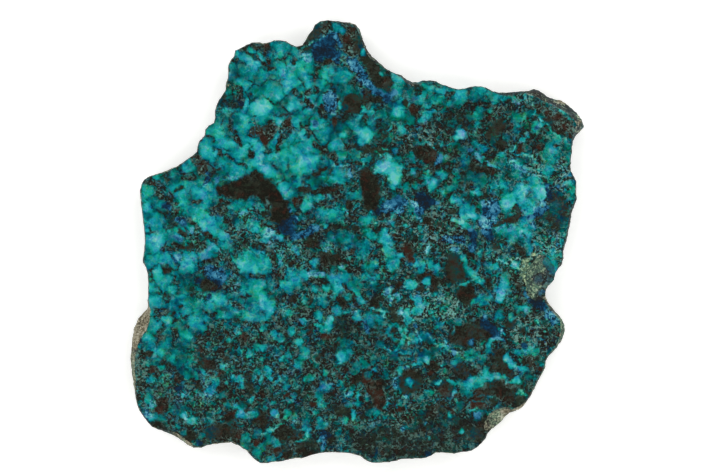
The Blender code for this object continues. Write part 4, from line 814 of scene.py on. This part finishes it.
def rockPattern():
    group = bpy.data.node_groups.new("chrysocolla_rock", "ShaderNodeTree")
    for name, kind in (("Color", "Color"), ("Tone", "Float"), ("Speck", "Float")):
        group.interface.new_socket(name, in_out="OUTPUT", socket_type="NodeSocket" + kind)
    looks, ranges = rockLooks, rockRanges

    # object coordinates in mm, strayed so that no edge runs straight
    place = placeInMm(group)
    stray = addNode(group, noised, {}, {
        "Vector": place, "Scale": looks["wanderScale"], "Detail": looks["wanderDetail"],
        "Roughness": looks["roughness"]})
    stray = addNode(group, vectorMaths, minus, (stray.outputs["Color"], (0.5, 0.5, 0.5)))
    rock = addNode(group, vectorMaths, timesPlus, (stray.outputs[0], (looks["wander"],) * 3, place))
    rock = rock.outputs[0]
    field, mottle = {}, {}
    for name in fieldStart:
        field[name] = addNode(group, attributed, {"attribute_name": name}).outputs["Fac"]
    for name, (size, detail, shift) in rockNoises.items():
        moved = addNode(group, vectorMaths, plus, (rock, (shift,) * 3))
        mottle[name] = addNode(group, noised, {}, {
            "Vector": moved.outputs[0], "Scale": 1 / size, "Detail": detail,
            "Roughness": looks["roughness"]}).outputs["Fac"]

    # the matrix is peppered and the clouds drift
    swings = {}
    for name in ("cloud", "patch", "speck"):
        reach = looks[name + "Swing"]
        swing = addNode(group, eased, smoothly, (mottle[name], *ranges[name], -reach, reach))
        swings[name] = swing.outputs[0]
    tone = addNode(group, maths, plus, (field["tone"], swings["cloud"])).outputs[0]
    calm = addNode(group, eased, {}, (field["shell"], *ranges["calm"])).outputs[0]
    grain = addNode(group, maths, times, (field["grain"], calm)).outputs[0]

    # broken pieces of the vein, each of its own shade and brighter in its middle, with dark cracks between
    shards = {"Vector": rock, "Scale": 1 / looks["clastSize"]}
    shade = addNode(group, celled, {}, shards).outputs["Color"]
    seam = addNode(group, celled, {"feature": "DISTANCE_TO_EDGE"}, shards).outputs["Distance"]
    swing, rise, width = looks["clastSwing"], looks["clastCore"], looks["crackWidth"]
    shade = addNode(group, eased, {}, (shade, 0.0, 1.0, -swing, swing)).outputs[0]
    core = addNode(group, eased, smoothly, (seam, *ranges["core"], -rise, rise)).outputs[0]
    crack = addNode(group, eased, smoothly, (seam, width * looks["crackSharp"], width, 1.0, 0.0)).outputs[0]
    opened = addNode(group, eased, smoothly, (mottle["broken"], *ranges["opened"])).outputs[0]
    crack = addNode(group, maths, times, (crack, opened)).outputs[0]
    shade = addNode(group, maths, plus, (shade, core)).outputs[0]
    shade = addNode(group, maths, timesPlus, (crack, -looks["crackDepth"], shade)).outputs[0]
    tone = addNode(group, maths, timesPlus, (shade, field["clast"], tone)).outputs[0]
    crack = addNode(group, maths, times, (crack, field["clast"])).outputs[0]
    grain = addNode(group, maths, timesPlus, (crack, looks["crackPepper"], grain)).outputs[0]

    # a dark peppery outline, in stretches, where a cloud ends
    strayed = addNode(group, maths, timesPlus, (swings["patch"], looks["outlineWander"], field["shell"]))
    strayed = strayed.outputs[0]
    inner = addNode(group, eased, smoothly, (strayed, *ranges["inner"])).outputs[0]
    outer = addNode(group, eased, smoothly, (strayed, *ranges["outer"])).outputs[0]
    outline = addNode(group, maths, times, (inner, outer)).outputs[0]
    gate = addNode(group, eased, smoothly, (mottle["gate"], *ranges["gate"])).outputs[0]
    outline = addNode(group, maths, times, (outline, gate)).outputs[0]
    tone = addNode(group, maths, timesPlus, (outline, -looks["outlineDepth"], tone)).outputs[0]
    grain = addNode(group, maths, timesPlus, (outline, looks["outlinePepper"], grain)).outputs[0]

    # between the clouds lie small clean chips, and the dark parts round them are peppered
    chip = addNode(group, eased, smoothly, (mottle["patch"], *ranges["chip"])).outputs[0]
    quiet = addNode(group, eased, {}, (chip, 0.0, 1.0, 1.0, 1 - looks["chipCalm"])).outputs[0]
    lift = addNode(group, eased, {}, (chip, 0.0, 1.0, -looks["chipSink"], looks["chipRise"])).outputs[0]
    pepper = addNode(group, maths, timesPlus, (swings["speck"], quiet, lift)).outputs[0]
    tone = addNode(group, maths, timesPlus, (pepper, grain, tone)).outputs[0]
    grain = addNode(group, maths, times, (grain, quiet)).outputs[0]

    ramps = {}
    for name, value in (("clean", tone), ("dusty", tone), ("azure", tone), ("umber", tone),
                        ("tanStain", mottle["speck"]), ("mossStain", mottle["speck"])):
        ramp = addNode(group, ramped, {}, (value,))
        setRamp(ramp, looks[name])
        ramps[name] = ramp.outputs[0]
    dust = addNode(group, maths, timesPlus, (grain, looks["dustGrain"], mottle["dust"])).outputs[0]
    dust = addNode(group, eased, smoothly, (dust, *ranges["dust"])).outputs[0]
    colour = addNode(group, mixed, asColour, {0: dust, 6: ramps["clean"], 7: ramps["dusty"]}).outputs[2]

    # the hue drifts over the rock, and turns most in the dark matrix
    matrix = addNode(group, eased, smoothly, (tone, *ranges["matrix"])).outputs[0]
    hue = addNode(group, eased, {}, (mottle["hue"], *ranges["hue"])).outputs[0]
    hue = addNode(group, maths, timesPlus, (field["hue"], looks["hueShift"], hue)).outputs[0]
    fineHue = addNode(group, eased, {}, (mottle["fineHue"], *ranges["fineHue"])).outputs[0]
    turn = addNode(group, eased, {}, (matrix, *ranges["turn"])).outputs[0]
    turn = addNode(group, maths, timesPlus, (dust, looks["dustTurn"], turn)).outputs[0]
    hue = addNode(group, maths, timesPlus, (fineHue, turn, hue)).outputs[0]
    colour = addNode(group, "ShaderNodeHueSaturation", {}, {"Hue": hue, "Color": colour}).outputs[0]

    # the dark matrix is brown where the tint is warm, and rusty in places and olive in others
    tint = addNode(group, eased, {"clamp": False}, (mottle["tint"], *ranges["tint"])).outputs[0]
    tint = addNode(group, maths, timesPlus, (field["tint"], looks["tintPull"], tint)).outputs[0]
    warm = addNode(group, eased, smoothly, (field["tint"], *ranges["warm"])).outputs[0]
    reach = addNode(group, eased, {}, (field["tint"], *ranges["brownReach"])).outputs[0]
    brown = addNode(group, eased, smoothly, (tone, looks["brownFrom"], reach, 1.0, 0.0)).outputs[0]
    warm = addNode(group, maths, times, (warm, brown)).outputs[0]
    colour = addNode(group, mixed, asColour, {0: warm, 6: colour, 7: ramps["umber"]}).outputs[2]
    for side, name in ((looks["tintFull"], "matrixRed"), (-looks["tintFull"], "matrixOlive")):
        share = addNode(group, eased, smoothly, (tint, 0.0, side)).outputs[0]
        share = addNode(group, maths, times, (share, matrix)).outputs[0]
        colour = addNode(group, mixed, asColour, {0: share, 6: colour, 7: linear(looks[name])}).outputs[2]

    # pale flecks and filaments where the matrix is laced
    fleck = addNode(group, maths, timesPlus, (mottle["gate"], looks["fleckGate"], mottle["fleck"])).outputs[0]
    fleck = addNode(group, eased, smoothly, (fleck, *ranges["fleck"])).outputs[0]
    ridge = addNode(group, maths, minus, (mottle["filament"], 0.5)).outputs[0]
    ridge = addNode(group, maths, absolute, (ridge,)).outputs[0]
    ridge = addNode(group, eased, smoothly, (ridge, 0.0, looks["filamentWidth"], looks["filamentShare"], 0.0))
    stretch = addNode(group, eased, smoothly, (mottle["broken"], *ranges["stretch"])).outputs[0]
    ridge = addNode(group, maths, times, (ridge.outputs[0], stretch)).outputs[0]
    fleck = addNode(group, maths, greater, (fleck, ridge)).outputs[0]
    fleck = addNode(group, maths, times, (fleck, field["lace"])).outputs[0]
    colour = addNode(group, mixed, asColour, {0: fleck, 6: colour, 7: linear(looks["flecks"])}).outputs[2]

    blue = addNode(group, maths, timesPlus, (mottle["blueEdge"], looks["blueRagged"], field["blue"]))
    blue = addNode(group, eased, smoothly, (blue.outputs[0], *ranges["blue"])).outputs[0]
    colour = addNode(group, mixed, asColour, {0: blue, 6: colour, 7: ramps["azure"]}).outputs[2]

    # beside the weathered skin its dust lies in the pores of the polished face
    stain = addNode(group, maths, timesPlus, (mottle["patch"], looks["stainRagged"], field["crust"]))
    stain = addNode(group, eased, smoothly, (stain.outputs[0], *ranges["stain"])).outputs[0]
    creep = addNode(group, mixed, asColour, {0: field["moss"], 6: ramps["tanStain"], 7: ramps["mossStain"]})
    colour = addNode(group, mixed, asColour, {0: stain, 6: colour, 7: creep.outputs[2]}).outputs[2]
    addNode(group, "NodeGroupOutput", {}, {"Color": colour, "Tone": tone, "Speck": mottle["speck"]})
    return group


def startMaterial(name):
    material = bpy.data.materials.new(name)
    material.use_nodes = True
    return material, material.node_tree, material.node_tree.nodes["Principled BSDF"]


# between a dark tone and a pale one the face goes from a softer to a harder polish
polishLooks = {
    "roughness": (0.1, 0.6, 0.20, 0.12),
    "peelStrength": 0.10, "peelHeight": 0.05,   # mm, orange peel left by the polishing pad
    "ior": 1.46,
}


def polishedChrysocolla(pattern):
    # chrysocolla and shattuckite in cuprite rock, lapped and polished: the colours are deep and a softbox
    # shows as a clear sheen, a little duller over the softer blue and brown parts
    material, tree, shader = startMaterial("polished_chrysocolla")
    looks = polishLooks
    rock = addNode(tree, grouped, {"node_tree": pattern}).outputs
    dull = addNode(tree, eased, {}, (rock["Tone"], *looks["roughness"])).outputs[0]
    peel = addNode(tree, bumped, {}, {
        "Strength": looks["peelStrength"], "Distance": looks["peelHeight"] * mm,
        "Height": rock["Tone"]}).outputs[0]
    feed(tree, shader, {"Base Color": rock["Color"], "Roughness": dull, "Normal": peel, "IOR": looks["ior"]})
    return material


skinLooks = {
    "tan": ((0.0, "#2e2a1e"), (0.25, "#6f6950"), (0.55, "#aca58a"), (0.85, "#cfcab2"), (1.0, "#e8e4d4")),
    "moss": ((0.0, "#162a26"), (0.25, "#3a5c50"), (0.55, "#6f977e"), (0.85, "#a9c79f"), (1.0, "#d8e6cb")),
    # the first colour below is painted shade, laid into the recesses of the skin's bump
    "paintedShade": "#1d1a15", "glint": "#dfe2da",
    # the colour just above, the second on its line, is a painted highlight for crystal glints, and the sizes
    # below shape its spots
    "noiseRoughness": 0.65, "paintedGlintSize": 0.55, "paintedGlintShare": 0.10, "paintedGlintEdge": 0.01,   # mm, and shares
    "ridgeWidth": 0.07, "ridgeShade": 0.52, "ridgeHeight": 0.35, "coverGain": 1.5, "rockValue": 0.88,
    "bumpHeight": 0.8, "roughness": 0.88, "ior": 1.46,
}

# size in mm and detail
skinNoises = {"grain": (0.45, 4.0), "patch": (2.0, 3.0), "hue": (3.1, 2.0), "ridge": (1.1, 3.0)}

# the values between which each share grows, and what it grows from and to where that isn't 0 and 1
skinRanges = {
    "cover": (1.75, 2.15), "grainShade": (0.28, 0.72, -0.14, 0.28), "patchShade": (0.32, 0.68, 0.02, 0.42),
    # of the ranges below, the ones used for the glints shape the spots of painted highlight, and the last one
    # sets the painted shade in the recesses
    "mossy": (0.75, 1.25), "fresh": (-0.1, 0.2, 1.0, 0.55), "glintSpot": (0.22, 0.38, 1.0, 0.0),
    "bare": (0.08, 0.20, 1.0, 0.0), "hollow": (0.28, 0.44, 0.7, 0.0),
}


def weatheredSkin(pattern):
    # the nodule's natural rind, cuprite and copper clays broken and weathered: chalky and rough, so it shows
    # no sheen and its tan and grey-green dust hides most of the blue
    # its few glints are painted highlights in the base colour
    material, tree, shader = startMaterial("weathered_skin")
    looks, ranges = skinLooks, skinRanges
    rock = addNode(tree, grouped, {"node_tree": pattern}).outputs
    place = placeInMm(tree)
    field, noises = {}, {}
    for name in ("crust", "moss"):
        field[name] = addNode(tree, attributed, {"attribute_name": name}).outputs["Fac"]
    for name, (size, detail) in skinNoises.items():
        noises[name] = addNode(tree, noised, {}, {
            "Vector": place, "Scale": 1 / size, "Detail": detail,
            "Roughness": looks["noiseRoughness"]}).outputs["Fac"]
    cover = addNode(tree, maths, plus, (noises["patch"], noises["grain"])).outputs[0]
    cover = addNode(tree, maths, timesPlus, (cover, looks["coverGain"], field["crust"])).outputs[0]
    cover = addNode(tree, eased, smoothly, (cover, *ranges["cover"])).outputs[0]

    # wrinkles stand out pale over darker recesses; the bump below raises the wrinkles and the grain where
    # they are painted paler, so this is partly the crust's own colour and partly painted light on the tops
    # and painted shade in the recesses
    ridge = addNode(tree, maths, minus, (noises["ridge"], 0.5)).outputs[0]
    ridge = addNode(tree, maths, absolute, (ridge,)).outputs[0]
    ridge = addNode(tree, eased, smoothly, (ridge, 0.0, looks["ridgeWidth"], 1.0, 0.0)).outputs[0]
    shade = addNode(tree, eased, {}, (noises["grain"], *ranges["grainShade"])).outputs[0]
    broad = addNode(tree, eased, {}, (noises["patch"], *ranges["patchShade"])).outputs[0]
    shade = addNode(tree, maths, plus, (broad, shade)).outputs[0]
    shade = addNode(tree, maths, timesPlus, (ridge, looks["ridgeShade"], shade)).outputs[0]
    dusts = []
    for name in ("tan", "moss"):
        ramp = addNode(tree, ramped, {}, (shade,))
        setRamp(ramp, looks[name])
        dusts.append(ramp.outputs[0])
    mossy = addNode(tree, maths, plus, (noises["hue"], field["moss"])).outputs[0]
    mossy = addNode(tree, eased, smoothly, (mossy, *ranges["mossy"])).outputs[0]
    dust = addNode(tree, mixed, asColour, {0: mossy, 6: dusts[0], 7: dusts[1]}).outputs[2]
    fresh = addNode(tree, eased, {}, (field["crust"], *ranges["fresh"])).outputs[0]
    dull = addNode(tree, "ShaderNodeHueSaturation", {}, {
        "Saturation": fresh, "Value": looks["rockValue"], "Color": rock["Color"]}).outputs[0]

    # where the crust is thin, a few small round spots are painted near white in the base colour as painted
    # highlights of crystal faces, while the roughness stays the same
    cells = addNode(tree, celled, {}, {"Vector": place, "Scale": 1 / looks["paintedGlintSize"]}).outputs
    least = 1 - looks["paintedGlintShare"]
    bright = addNode(tree, eased, {}, (cells["Color"], least, least + looks["paintedGlintEdge"])).outputs[0]
    glintSpot = addNode(tree, eased, smoothly, (cells["Distance"], *ranges["glintSpot"])).outputs[0]
    bare = addNode(tree, eased, {}, (field["crust"], *ranges["bare"])).outputs[0]
    glint = addNode(tree, maths, times, (bright, glintSpot)).outputs[0]
    glint = addNode(tree, maths, times, (glint, bare)).outputs[0]
    dull = addNode(tree, mixed, asColour, {0: glint, 6: dull, 7: linear(looks["glint"])}).outputs[2]
    colour = addNode(tree, mixed, asColour, {0: cover, 6: dull, 7: dust}).outputs[2]
    # where the grain noise, which also lifts the bump, is low, the recesses are painted dark as painted shade
    hollow = addNode(tree, eased, smoothly, (noises["grain"], *ranges["hollow"])).outputs[0]
    colour = addNode(tree, mixed, asColour, {0: hollow, 6: colour, 7: linear(looks["paintedShade"])}).outputs[2]
    height = addNode(tree, maths, timesPlus, (ridge, looks["ridgeHeight"], noises["grain"])).outputs[0]
    bump = addNode(tree, bumped, {}, {"Distance": looks["bumpHeight"] * mm, "Height": height}).outputs[0]
    feed(tree, shader, {
        "Base Color": colour, "Normal": bump, "Roughness": looks["roughness"], "IOR": looks["ior"]})
    return material


sawLooks = {
    "centre": (-150.0, 60.0, 0.0),            # mm, where the blade's middle was
    "pitch": 0.9, "grooveDepth": 0.03, "driftSize": 6.0, "driftDetail": 1.0,
    "slurry": "#76867e", "slurryShare": 0.20, "slurrySwing": 0.08,
    "roughness": 0.5, "ior": 1.46,
}


def sawnChrysocolla(pattern):
    # the same rock straight off a diamond saw: unpolished, so its colours are greyer and it shows only
    # a faint silky sheen along shallow arcs that the blade left, drawn a bit coarser than real so they show
    material, tree, shader = startMaterial("sawn_chrysocolla")
    looks = sawLooks
    rock = addNode(tree, grouped, {"node_tree": pattern}).outputs
    place = placeInMm(tree)
    away = addNode(tree, vectorMaths, {"operation": "DISTANCE"}, (place, looks["centre"])).outputs["Value"]
    drift = addNode(tree, noised, {}, {
        "Vector": place, "Scale": 1 / looks["driftSize"], "Detail": looks["driftDetail"]}).outputs["Fac"]
    turns = addNode(tree, maths, timesPlus, (away, 2 * math.pi / looks["pitch"], drift)).outputs[0]
    groove = addNode(tree, maths, {"operation": "SINE"}, (turns,)).outputs[0]
    broken = addNode(tree, maths, times, (groove, drift)).outputs[0]
    least, most = looks["slurryShare"] - looks["slurrySwing"], looks["slurryShare"] + looks["slurrySwing"]
    share = addNode(tree, eased, {}, (broken, -1.0, 1.0, least, most)).outputs[0]
    slurry = linear(looks["slurry"])
    colour = addNode(tree, mixed, asColour, {0: share, 6: rock["Color"], 7: slurry}).outputs[2]
    bump = addNode(tree, bumped, {}, {"Distance": looks["grooveDepth"] * mm, "Height": broken}).outputs[0]
    feed(tree, shader, {
        "Base Color": colour, "Normal": bump, "Roughness": looks["roughness"], "IOR": looks["ior"]})
    return material


grit = {
    "leastSize": 0.08, "mostSize": 0.22,   # radii in mm
    "perSquareMetre": 6e5, "crustFrom": 0.45, "seed": 7,
    "leastShape": (0.6, 0.6, 0.4), "mostShape": (1.3, 1.0, 0.8), "mostTurn": (6.28, 6.28, 6.28),
    "tan": ("#5d5238", "#d9d0b6"), "moss": ("#465a42", "#c4d2ae"),
    "roughness": (0.85, 0.95, 0.8, 0.2), "ior": 1.54,
}


def gritMaterial():
    # weathered grains of clay, quartz and malachite stuck on the rind: dull and pale, a few with a wet glint
    material, tree, shader = startMaterial("weathered_grains")
    field, colours = {}, []
    for name in ("shade", "moss"):
        field[name] = addNode(tree, attributed, {"attribute_name": name}).outputs["Fac"]
    for name in ("tan", "moss"):
        low, high = (linear(colour) for colour in grit[name])
        colours.append(addNode(tree, mixed, asColour, {0: field["shade"], 6: low, 7: high}).outputs[2])
    colour = addNode(tree, mixed, asColour, {0: field["moss"], 6: colours[0], 7: colours[1]}).outputs[2]
    glint = addNode(tree, eased, {}, (field["shade"], *grit["roughness"])).outputs[0]
    feed(tree, shader, {"Base Color": colour, "Roughness": glint, "IOR": grit["ior"]})
    return material


def gritTree(material):
    tree = bpy.data.node_groups.new("rim_grit", "GeometryNodeTree")
    for name, kind in (("Skin", "Geometry"), ("Per square metre", "Float"), ("Crust from", "Float"),
                       ("Least radius", "Float"), ("Most radius", "Float"), ("Seed", "Int")):
        tree.interface.new_socket(name, in_out="INPUT", socket_type="NodeSocket" + kind)
    tree.interface.new_socket("Grains", in_out="OUTPUT", socket_type="NodeSocketGeometry")
    given = addNode(tree, "NodeGroupInput").outputs
    random, number, vector = "FunctionNodeRandomValue", {"data_type": "FLOAT"}, {"data_type": "FLOAT_VECTOR"}
    seed = given["Seed"]
    crust = addNode(tree, "GeometryNodeInputNamedAttribute", number, {"Name": "crust"}).outputs[0]
    thick = addNode(tree, eased, {}, (crust, given["Crust from"], 1.0)).outputs[0]
    density = addNode(tree, maths, times, (thick, given["Per square metre"])).outputs[0]
    points = addNode(tree, "GeometryNodeDistributePointsOnFaces", {}, {
        "Mesh": given["Skin"], "Density": density, "Seed": seed}).outputs["Points"]
    grain = addNode(tree, "GeometryNodeMeshIcoSphere", {}, {"Radius": 1.0, "Subdivisions": 1}).outputs[0]
    size = addNode(tree, random, number, {2: given["Least radius"], 3: given["Most radius"], "Seed": seed})
    turn = addNode(tree, random, vector, {0: (0.0, 0.0, 0.0), 1: grit["mostTurn"], "Seed": seed})
    shape = addNode(tree, random, vector, {0: grit["leastShape"], 1: grit["mostShape"], "Seed": seed})
    scale = addNode(tree, vectorMaths, scaled, {0: shape.outputs[0], "Scale": size.outputs[1]})
    grains = addNode(tree, "GeometryNodeInstanceOnPoints", {}, {
        "Points": points, "Instance": grain, "Rotation": turn.outputs[0], "Scale": scale.outputs[0]})
    shade = addNode(tree, random, number, {2: 0.0, 3: 1.0, "Seed": seed}).outputs[1]
    shaded = addNode(tree, "GeometryNodeStoreNamedAttribute", {"data_type": "FLOAT", "domain": "INSTANCE"}, {
        "Geometry": grains.outputs[0], "Name": "shade", "Value": shade})
    real = addNode(tree, "GeometryNodeRealizeInstances", {}, {"Geometry": shaded.outputs[0]}).outputs[0]
    dressed = addNode(tree, "GeometryNodeSetMaterial", {}, {"Geometry": real, "Material": material})
    addNode(tree, "NodeGroupOutput", {}, (dressed.outputs[0],))
    return tree


def buildGrit(stone):
    bm = bmesh.new()
    bm.from_mesh(stone.data)
    bmesh.ops.delete(bm, geom=[f for f in bm.faces if f.material_index != skinSlot], context="FACES")
    carrier = bpy.data.meshes.new("skin_faces")
    bm.to_mesh(carrier)
    bm.free()
    made = bpy.data.objects.new("skin_faces", carrier)
    bpy.context.scene.collection.objects.link(made)
    tree = gritTree(gritMaterial())
    modifier = made.modifiers.new("rim_grit", "NODES")
    modifier.node_group = tree
    sizes = {
        "Per square metre": grit["perSquareMetre"], "Crust from": grit["crustFrom"],
        "Least radius": grit["leastSize"] * mm, "Most radius": grit["mostSize"] * mm, "Seed": grit["seed"]}
    for socket in tree.interface.items_tree:
        if socket.name in sizes:
            modifier[socket.identifier] = sizes[socket.name]
    bpy.context.view_layer.update()
    mesh = bpy.data.meshes.new_from_object(made.evaluated_get(bpy.context.evaluated_depsgraph_get()))
    bpy.data.objects.remove(made)
    grains = bpy.data.objects.new("rim_grit", mesh)
    bpy.context.scene.collection.objects.link(grains)
    return grains


studio = {
    "floorSize": 3.0, "floorDrop": 0.0001, "floorGlow": 0.35,   # metres
    "paperColour": "#f2f2f0", "paperRoughness": 0.9, "paperSpecular": 0.1,
    "worldColour": "#ffffff", "worldStrength": 0.02,
    "wallRadius": 1.4, "wallHeight": 1.0, "wallSides": 96, "wallGlow": 0.28,
    "lens": 135.0, "sensor": 36.0, "aim": (-0.57, 1.045),       # mm, the place below the camera
    "lights": 4, "firstTurn": 45, "lightElevation": 52.0,       # degrees
    "lightWatts": 1.20, "lightDistance": 0.62, "lightSize": 0.42,
}


def buildBackdrop():
    bpy.ops.mesh.primitive_plane_add(size=studio["floorSize"], location=(0, 0, -studio["floorDrop"]))
    floor = bpy.context.object
    floor.name = "studio_floor"
    paper, tree, shader = startMaterial("white_paper")
    feed(tree, shader, {
        "Base Color": linear(studio["paperColour"]), "Roughness": studio["paperRoughness"],
        "Specular IOR Level": studio["paperSpecular"], "Emission Color": (1, 1, 1, 1),
        "Emission Strength": studio["floorGlow"]})
    floor.data.materials.append(paper)
    bpy.ops.mesh.primitive_cylinder_add(
        vertices=studio["wallSides"], radius=studio["wallRadius"], depth=studio["wallHeight"],
        end_fill_type="NOTHING", location=(0, 0, studio["wallHeight"] / 2 - studio["floorDrop"]))
    wall = bpy.context.object
    wall.name = "studio_wall"
    glow = paper.copy()
    glow.name = "lit_paper"
    glow.node_tree.nodes["Principled BSDF"].inputs["Emission Strength"].default_value = studio["wallGlow"]
    wall.data.materials.append(glow)
    world = bpy.data.worlds.new("studio")
    world.use_nodes = True
    backdrop = world.node_tree.nodes["Background"]
    backdrop.inputs["Color"].default_value = linear(studio["worldColour"])
    backdrop.inputs["Strength"].default_value = studio["worldStrength"]
    bpy.context.scene.world = world


def buildStudio(top):
    buildBackdrop()
    lift = math.radians(studio["lightElevation"])
    for i in range(studio["lights"]):
        turn = math.radians(studio["firstTurn"] + 360 / studio["lights"] * i)
        light = bpy.data.lights.new(f"softbox_{i}", "AREA")
        light.shape = "SQUARE"
        light.size = studio["lightSize"]
        light.energy = studio["lightWatts"]
        lamp = bpy.data.objects.new(f"softbox_{i}", light)
        away = Vector((math.cos(turn) * math.cos(lift), math.sin(turn) * math.cos(lift), math.sin(lift)))
        lamp.location = away * studio["lightDistance"]
        lamp.rotation_euler = away.to_track_quat("Z", "Y").to_euler()
        bpy.context.scene.collection.objects.link(lamp)
    camera = bpy.data.cameras.new("camera")
    camera.lens = studio["lens"]
    camera.sensor_width = studio["sensor"]
    viewer = bpy.data.objects.new("camera", camera)
    distance = pictureWidth * mmPerPixel * mm * studio["lens"] / studio["sensor"]
    viewer.location = (studio["aim"][0] * mm, studio["aim"][1] * mm, top + distance)
    bpy.context.scene.collection.objects.link(viewer)
    bpy.context.scene.camera = viewer
    bpy.context.scene.view_settings.view_transform = "Standard"


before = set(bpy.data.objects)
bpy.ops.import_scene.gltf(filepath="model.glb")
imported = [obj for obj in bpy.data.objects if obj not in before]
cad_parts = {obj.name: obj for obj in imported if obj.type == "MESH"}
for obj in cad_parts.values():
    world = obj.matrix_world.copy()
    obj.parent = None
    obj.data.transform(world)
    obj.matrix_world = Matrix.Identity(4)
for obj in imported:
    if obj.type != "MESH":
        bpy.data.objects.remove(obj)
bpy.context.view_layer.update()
print("frame loaded")
stone = buildStone(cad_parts[slabMesh["node"]])
print("stone mesh", len(stone.data.vertices), "points", len(stone.data.polygons), "faces")
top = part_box(slabMesh["node"])[1][2]
paintFields(stone.data, top)
print("markings placed")
pattern = rockPattern()
for finish in (polishedChrysocolla, weatheredSkin, sawnChrysocolla):
    stone.data.materials.append(finish(pattern))
grains = buildGrit(stone)
print("grains", len(grains.data.polygons), "faces")
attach(grains, "root")
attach(stone, "root")
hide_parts(slabMesh["node"])
print("materials made")
buildStudio(top)
print("studio made")
